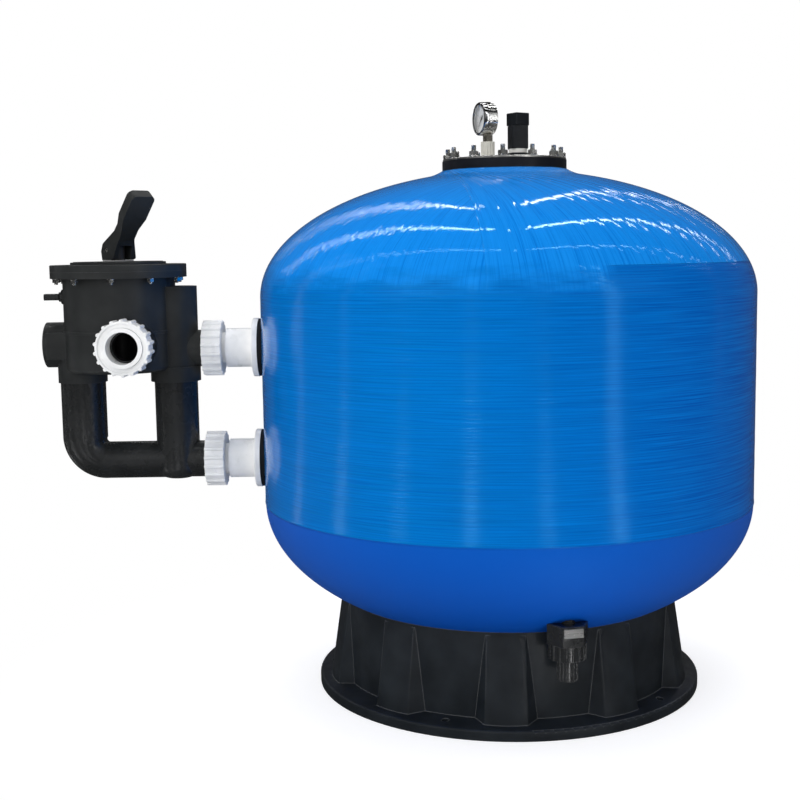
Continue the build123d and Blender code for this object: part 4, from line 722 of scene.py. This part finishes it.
for name, shape, node in (("valve_bolts", bolt_shape, "valve_lid_bolts"),
                          ("valve_washers", bolt_washer_shape, "valve_lid_washers"),
                          ("valve_nuts", bolt_nut_shape, "valve_lid_nuts")):
    fix(arrange(name, shape, stud_finish, bolt_count, bolt_ring, bolt_first, centre=valve_axis, loose=1.0),
        "tank", "bolt_steel", node)


def coil(low, high, centre_x, coil_r, wire_r, turns, steps=240, sides=14):
    """A wire wound as a spring, with closed ends."""
    verts, faces = [], []
    slope = math.atan2(high - low, 2 * math.pi * coil_r * turns)
    for step in range(steps + 1):
        turn = 2 * math.pi * turns * step / steps
        outward = Vector((math.cos(turn), math.sin(turn), 0.0))
        rising = Vector((math.sin(turn) * math.sin(slope), -math.cos(turn) * math.sin(slope),
                         math.cos(slope)))
        middle = outward * coil_r + Vector((centre_x, 0.0, low + (high - low) * step / steps))
        for side in range(sides):
            roll_by = 2 * math.pi * side / sides
            verts.append(middle + outward * wire_r * math.cos(roll_by) + rising * wire_r * math.sin(roll_by))
    for step in range(steps):
        for side in range(sides):
            beside = (side + 1) % sides
            faces.append((step * sides + side, (step + 1) * sides + side, (step + 1) * sides + beside,
                          step * sides + beside))
    faces.append(tuple(range(sides)))
    faces.append(tuple(steps * sides + side for side in reversed(range(sides))))
    return verts, faces


# the rotor's spring shortens by the rotor's lift when the lever is pressed; here it is one fixed coil in the
# carried-over spring's place
spring_low, spring_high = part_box("rotor_spring")
spring_wire, spring_turns, lift_clearance = 0.0024, 4.5, 0.0002
spring_x = (spring_low.x + spring_high.x) / 2
spring_coil_r = (spring_high.x - spring_low.x) / 2 - spring_wire
spring = skin("pressure_spring", *coil(spring_low.z + spring_wire, spring_high.z - spring_wire, spring_x,
                                       spring_coil_r, spring_wire, spring_turns),
              stud_finish, slot="spring_steel")
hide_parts("rotor_spring")
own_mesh(spring)

rotor_finish = moulded("rotor_plastic", (0.03, 0.03, 0.033), 0.5)
dress(rotor_finish, "rotor", "rotor_stem")
thrust_finish = moulded("thrust_plastic", (0.25, 0.25, 0.25), 0.5)
dress(thrust_finish, "thrust_washer")


# ----------------------------------------------------------------------- unions
# White moulded unions join the valve to the pump's pipe and to the tank: a tail
# with a ribbed nut round it. The fittings through the tank's wall and the
# pipework inside are moulded in the same white plastic.

white_finish = moulded("union_white", (0.78, 0.79, 0.79), 0.3, grain=0.03, gloss=0.5)
dress(white_finish, "union_tails", "lower_union_nut", "upper_union_nut", "pump_union_tail", "pump_union_nut",
      "bulkheads", "bulkhead_backnuts", "inlet_pipe", "diffuser", "outlet_pipe", "lateral_hub", "laterals")


# ------------------------------------------------------------------------ drain
# A glossy black moulded fitting passes the bottom dome, with a nut behind the
# wall. A union nut carries its tail, a cap closes that, and a small pale steel
# plate set in its face is a painted glint, standing in for light on its front flat.

# the drain fitting's edges carry a painted highlight
drain_finish = moulded("drain_plastic", (0.014, 0.015, 0.016), 0.24, grain=0.03, gloss=0.6, edge_highlight=0.7)
# painted glint: a pale steel plate stands in for the light caught by the fitting's front flat
glint_plate_finish = metal("drain_plate_steel", (0.65, 0.65, 0.65), 0.3)
dress(drain_finish, "drain_body", "drain_backnut", "drain_tail", "drain_union_nut", "drain_cap")
dress(glint_plate_finish, "drain_face_plate")


# ----------------------------------------------------------------------- studio
# A hall with a white floor and backdrop. Panels stand round the object, rows of
# roof lights hang over it, and one broad soft lamp lights all of it.

scene = bpy.context.scene
scene.view_settings.view_transform = "Standard"

tilt, roll = 0.1170, 0.0150
right = Vector((1.0, 0.0, 0.0))
up = Vector((0.0, math.sin(tilt), math.cos(tilt)))
ahead = Vector((0.0, math.cos(tilt), -math.sin(tilt)))
across = right * math.cos(roll) - up * math.sin(roll)
upward = right * math.sin(roll) + up * math.cos(roll)
lens = bpy.data.cameras.new("camera")
lens.lens = 57.8
lens.sensor_width = 36.0
camera = bpy.data.objects.new("camera", lens)
scene.collection.objects.link(camera)
eye = Vector((-0.2184, -2.642, 0.8944))
camera.matrix_world = Matrix(((across.x, upward.x, -ahead.x, eye.x), (across.y, upward.y, -ahead.y, eye.y),
                              (across.z, upward.z, -ahead.z, eye.z), (0.0, 0.0, 0.0, 1.0)))
scene.camera = camera

crown_spot = Vector((0.0, -0.35, 0.9))
roof_height = 3.2


def lamp(name, first, last, width, radiance, aim=crown_spot):
    """A flat bar lamp laid between two places, with its face turned towards a third."""
    along = (last - first).normalized()
    away = (first + last) / 2 - aim
    away = (away - along * away.dot(along)).normalized()
    light = bpy.data.lights.new(name, "AREA")
    light.shape = "RECTANGLE"
    light.size = (last - first).length
    light.size_y = width
    light.energy = radiance * math.pi * light.size * width
    holder = bpy.data.objects.new(name, light)
    holder.matrix_world = Matrix((along, away.cross(along), away)).transposed().to_4x4()
    holder.location = (first + last) / 2
    holder.visible_camera = False
    scene.collection.objects.link(holder)
    return holder


def stand(azimuth, distance, height):
    """A place round the object, by its bearing from the camera's side."""
    turn = math.radians(azimuth)
    return Vector((distance * math.sin(turn), -distance * math.cos(turn), height))


def roof(across, back):
    """A place under the hall's roof, measured across and back from the spot over the crown."""
    return crown_spot + Vector((across, back, roof_height))


# a broad soft lamp lights the whole object and is kept out of its reflections
key_bearing = -42
key_place = stand(key_bearing, 4.0, 2.4)
level = Vector((math.cos(math.radians(key_bearing)), math.sin(math.radians(key_bearing)), 0.0))
key = lamp("soft key", key_place - level * 1.2, key_place + level * 1.2, 2.4, 3.0, Vector((0.0, 0.0, 0.6)))
key.visible_glossy = False

# eight tall narrow panels stand in an even ring, and the bright floor under each runs towards it
first_panel, panel_pitch = -105, 29
panel_distance, panel_foot, panel_head = 4.2, 0.1, 5.1
glow_near, glow_far, glow_width, glow_height = 1.45, 3.4, 0.04, 0.003
floor_aim = Vector((0.0, 0.0, 5.0))
for place, (width, radiance, glow) in enumerate(((0.14, 1.0, 4.0), (0.10, 1.2, 10.0), (0.06, 1.0, 9.0),
                                                 (0.06, 2.5, 18.0), (0.06, 1.5, 11.0), (0.12, 8.0, 20.0),
                                                 (0.06, 0.5, 0.5), (0.30, 0.1, 0.1))):
    azimuth = first_panel + panel_pitch * place
    lamp(f"panel {azimuth}", stand(azimuth, panel_distance, panel_foot),
         stand(azimuth, panel_distance, panel_head), width, radiance, Vector((0.0, 0.0, 2.6)))
    near, far = stand(azimuth, glow_near, glow_height), stand(azimuth, glow_far, glow_height)
    lamp(f"floor glow {azimuth}", near, far, glow_width, glow, (near + far) / 2 + floor_aim)

# a short bright patch of the floor in front of the drain shines on its fitting
near, far = stand(14, 0.65, glow_height), stand(14, 1.15, glow_height)
lamp("drain glow", near, far, 0.035, 12.0, (near + far) / 2 + floor_aim)

# straight rows of roof lights run from over it towards the back, three on each side alike
row_parts = 8
for side in (-1, 1):
    for row, (width, radiance, start, end) in enumerate((
            (0.07, 20, (0.3, 2.0), (7.0, 14.0)),
            (0.08, 26, (0.3, 0.4), (9.0, 8.0)),
            (0.04, 14, (0.3, -1.0), (8.0, 2.5)))):
        near, far = roof(side * start[0], start[1]), roof(side * end[0], end[1])
        for part in range(row_parts):
            first = near.lerp(far, (part / row_parts) ** 2)
            last = near.lerp(far, ((part + 1) / row_parts) ** 2)
            height = ((first + last) / 2 - crown_spot).normalized().z
            lamp(f"roof light {side} {row} {part}", first, last, width, radiance * height)

world = bpy.data.worlds.new("hall")
world.use_nodes = True
scene.world = world
tree = world.node_tree
tree.nodes.clear()
path = wire(tree, "ShaderNodeLightPath")
outlook = wire(tree, "ShaderNodeTexCoord").outputs["Generated"]
bearing = wire(tree, "ShaderNodeSeparateXYZ", [("Vector", outlook)])
behind = sums(tree, "MULTIPLY", spread(tree, bearing.outputs["Y"], 0.2, 0.5, smooth=True), 0.04)
low_front = sums(tree, "MULTIPLY", spread(tree, bearing.outputs["Z"], 0.04, 0.14, 0.0, 0.30, smooth=True),
                 sums(tree, "MULTIPLY", spread(tree, bearing.outputs["Z"], 0.75, 0.45, smooth=True),
                      spread(tree, bearing.outputs["Y"], -0.25, -0.5, smooth=True)))
mirrored = sums(tree, "MULTIPLY", path.outputs["Is Glossy Ray"], sums(tree, "MAXIMUM", behind, low_front))
white = sums(tree, "MAXIMUM", path.outputs["Is Camera Ray"], path.outputs["Is Transmission Ray"])
overcast = spread(tree, bearing.outputs["Z"], 0.0, 1.0, 0.42, 0.80)
plain = sums(tree, "MULTIPLY_ADD", path.outputs["Is Diffuse Ray"], overcast, 0.02)
strength = sums(tree, "ADD", sums(tree, "MAXIMUM", white, plain), mirrored)
ground = wire(tree, "ShaderNodeBackground", [("Color", (1.0, 1.0, 1.0, 1.0)), ("Strength", strength)])
wire(tree, "ShaderNodeOutputWorld", [("Surface", ground.outputs[0])])

floor_mesh = bpy.data.meshes.new("floor")
floor_mesh.from_pydata([(-9, -9, 0), (9, -9, 0), (9, 14, 0), (-9, 14, 0)], [], [(0, 1, 2, 3)])
floor = bpy.data.objects.new("floor", floor_mesh)
scene.collection.objects.link(floor)
floor_finish, floor_shader = finish("white floor")
tree = floor_finish.node_tree
floor_shader.inputs["Base Color"].default_value = (0.6, 0.6, 0.6, 1.0)
floor_shader.inputs["Roughness"].default_value = 1.0
floor_shader.inputs["Specular IOR Level"].default_value = 0.0
path = wire(tree, "ShaderNodeLightPath")
parts = wire(tree, "ShaderNodeSeparateXYZ", [("Vector", wire(tree, "ShaderNodeTexCoord").outputs["Object"])])
reach = sums(tree, "SQRT", sums(tree, "ADD", sums(tree, "MULTIPLY", parts.outputs[0], parts.outputs[0]),
                                sums(tree, "MULTIPLY", parts.outputs[1], parts.outputs[1])))
seen = sums(tree, "MAXIMUM", path.outputs["Is Camera Ray"], path.outputs["Is Transmission Ray"])
far = spread(tree, reach, 0.50, 1.1, smooth=True)
glow = wire(tree, "ShaderNodeEmission", [("Color", (1.0, 1.0, 1.0, 1.0)), ("Strength", 1.0)])
lift = wire(tree, "ShaderNodeEmission", [("Color", (1.0, 1.0, 1.0, 1.0)), ("Strength", 0.62)])
near = wire(tree, "ShaderNodeAddShader", [(0, floor_shader.outputs[0]), (1, lift.outputs[0])])
shown = wire(tree, "ShaderNodeMixShader", [(0, far), (1, near.outputs[0]), (2, glow.outputs[0])])
dim = wire(tree, "ShaderNodeEmission", [("Color", (1.0, 1.0, 1.0, 1.0)), ("Strength", 0.05)])
bounce = wire(tree, "ShaderNodeEmission", [("Color", (0.9, 0.95, 1.0, 1.0)), ("Strength", 0.10)])
lit = wire(tree, "ShaderNodeAddShader", [(0, floor_shader.outputs[0]), (1, bounce.outputs[0])])
unseen = wire(tree, "ShaderNodeMixShader", [(0, path.outputs["Is Glossy Ray"]), (1, lit.outputs[0]),
                                            (2, dim.outputs[0])])
whole = wire(tree, "ShaderNodeMixShader", [(0, seen), (1, unseen.outputs[0]), (2, shown.outputs[0])])
output = tree.nodes["Material Output"]
tree.links.new(whole.outputs[0], output.inputs["Surface"])
paint(floor, floor_finish)
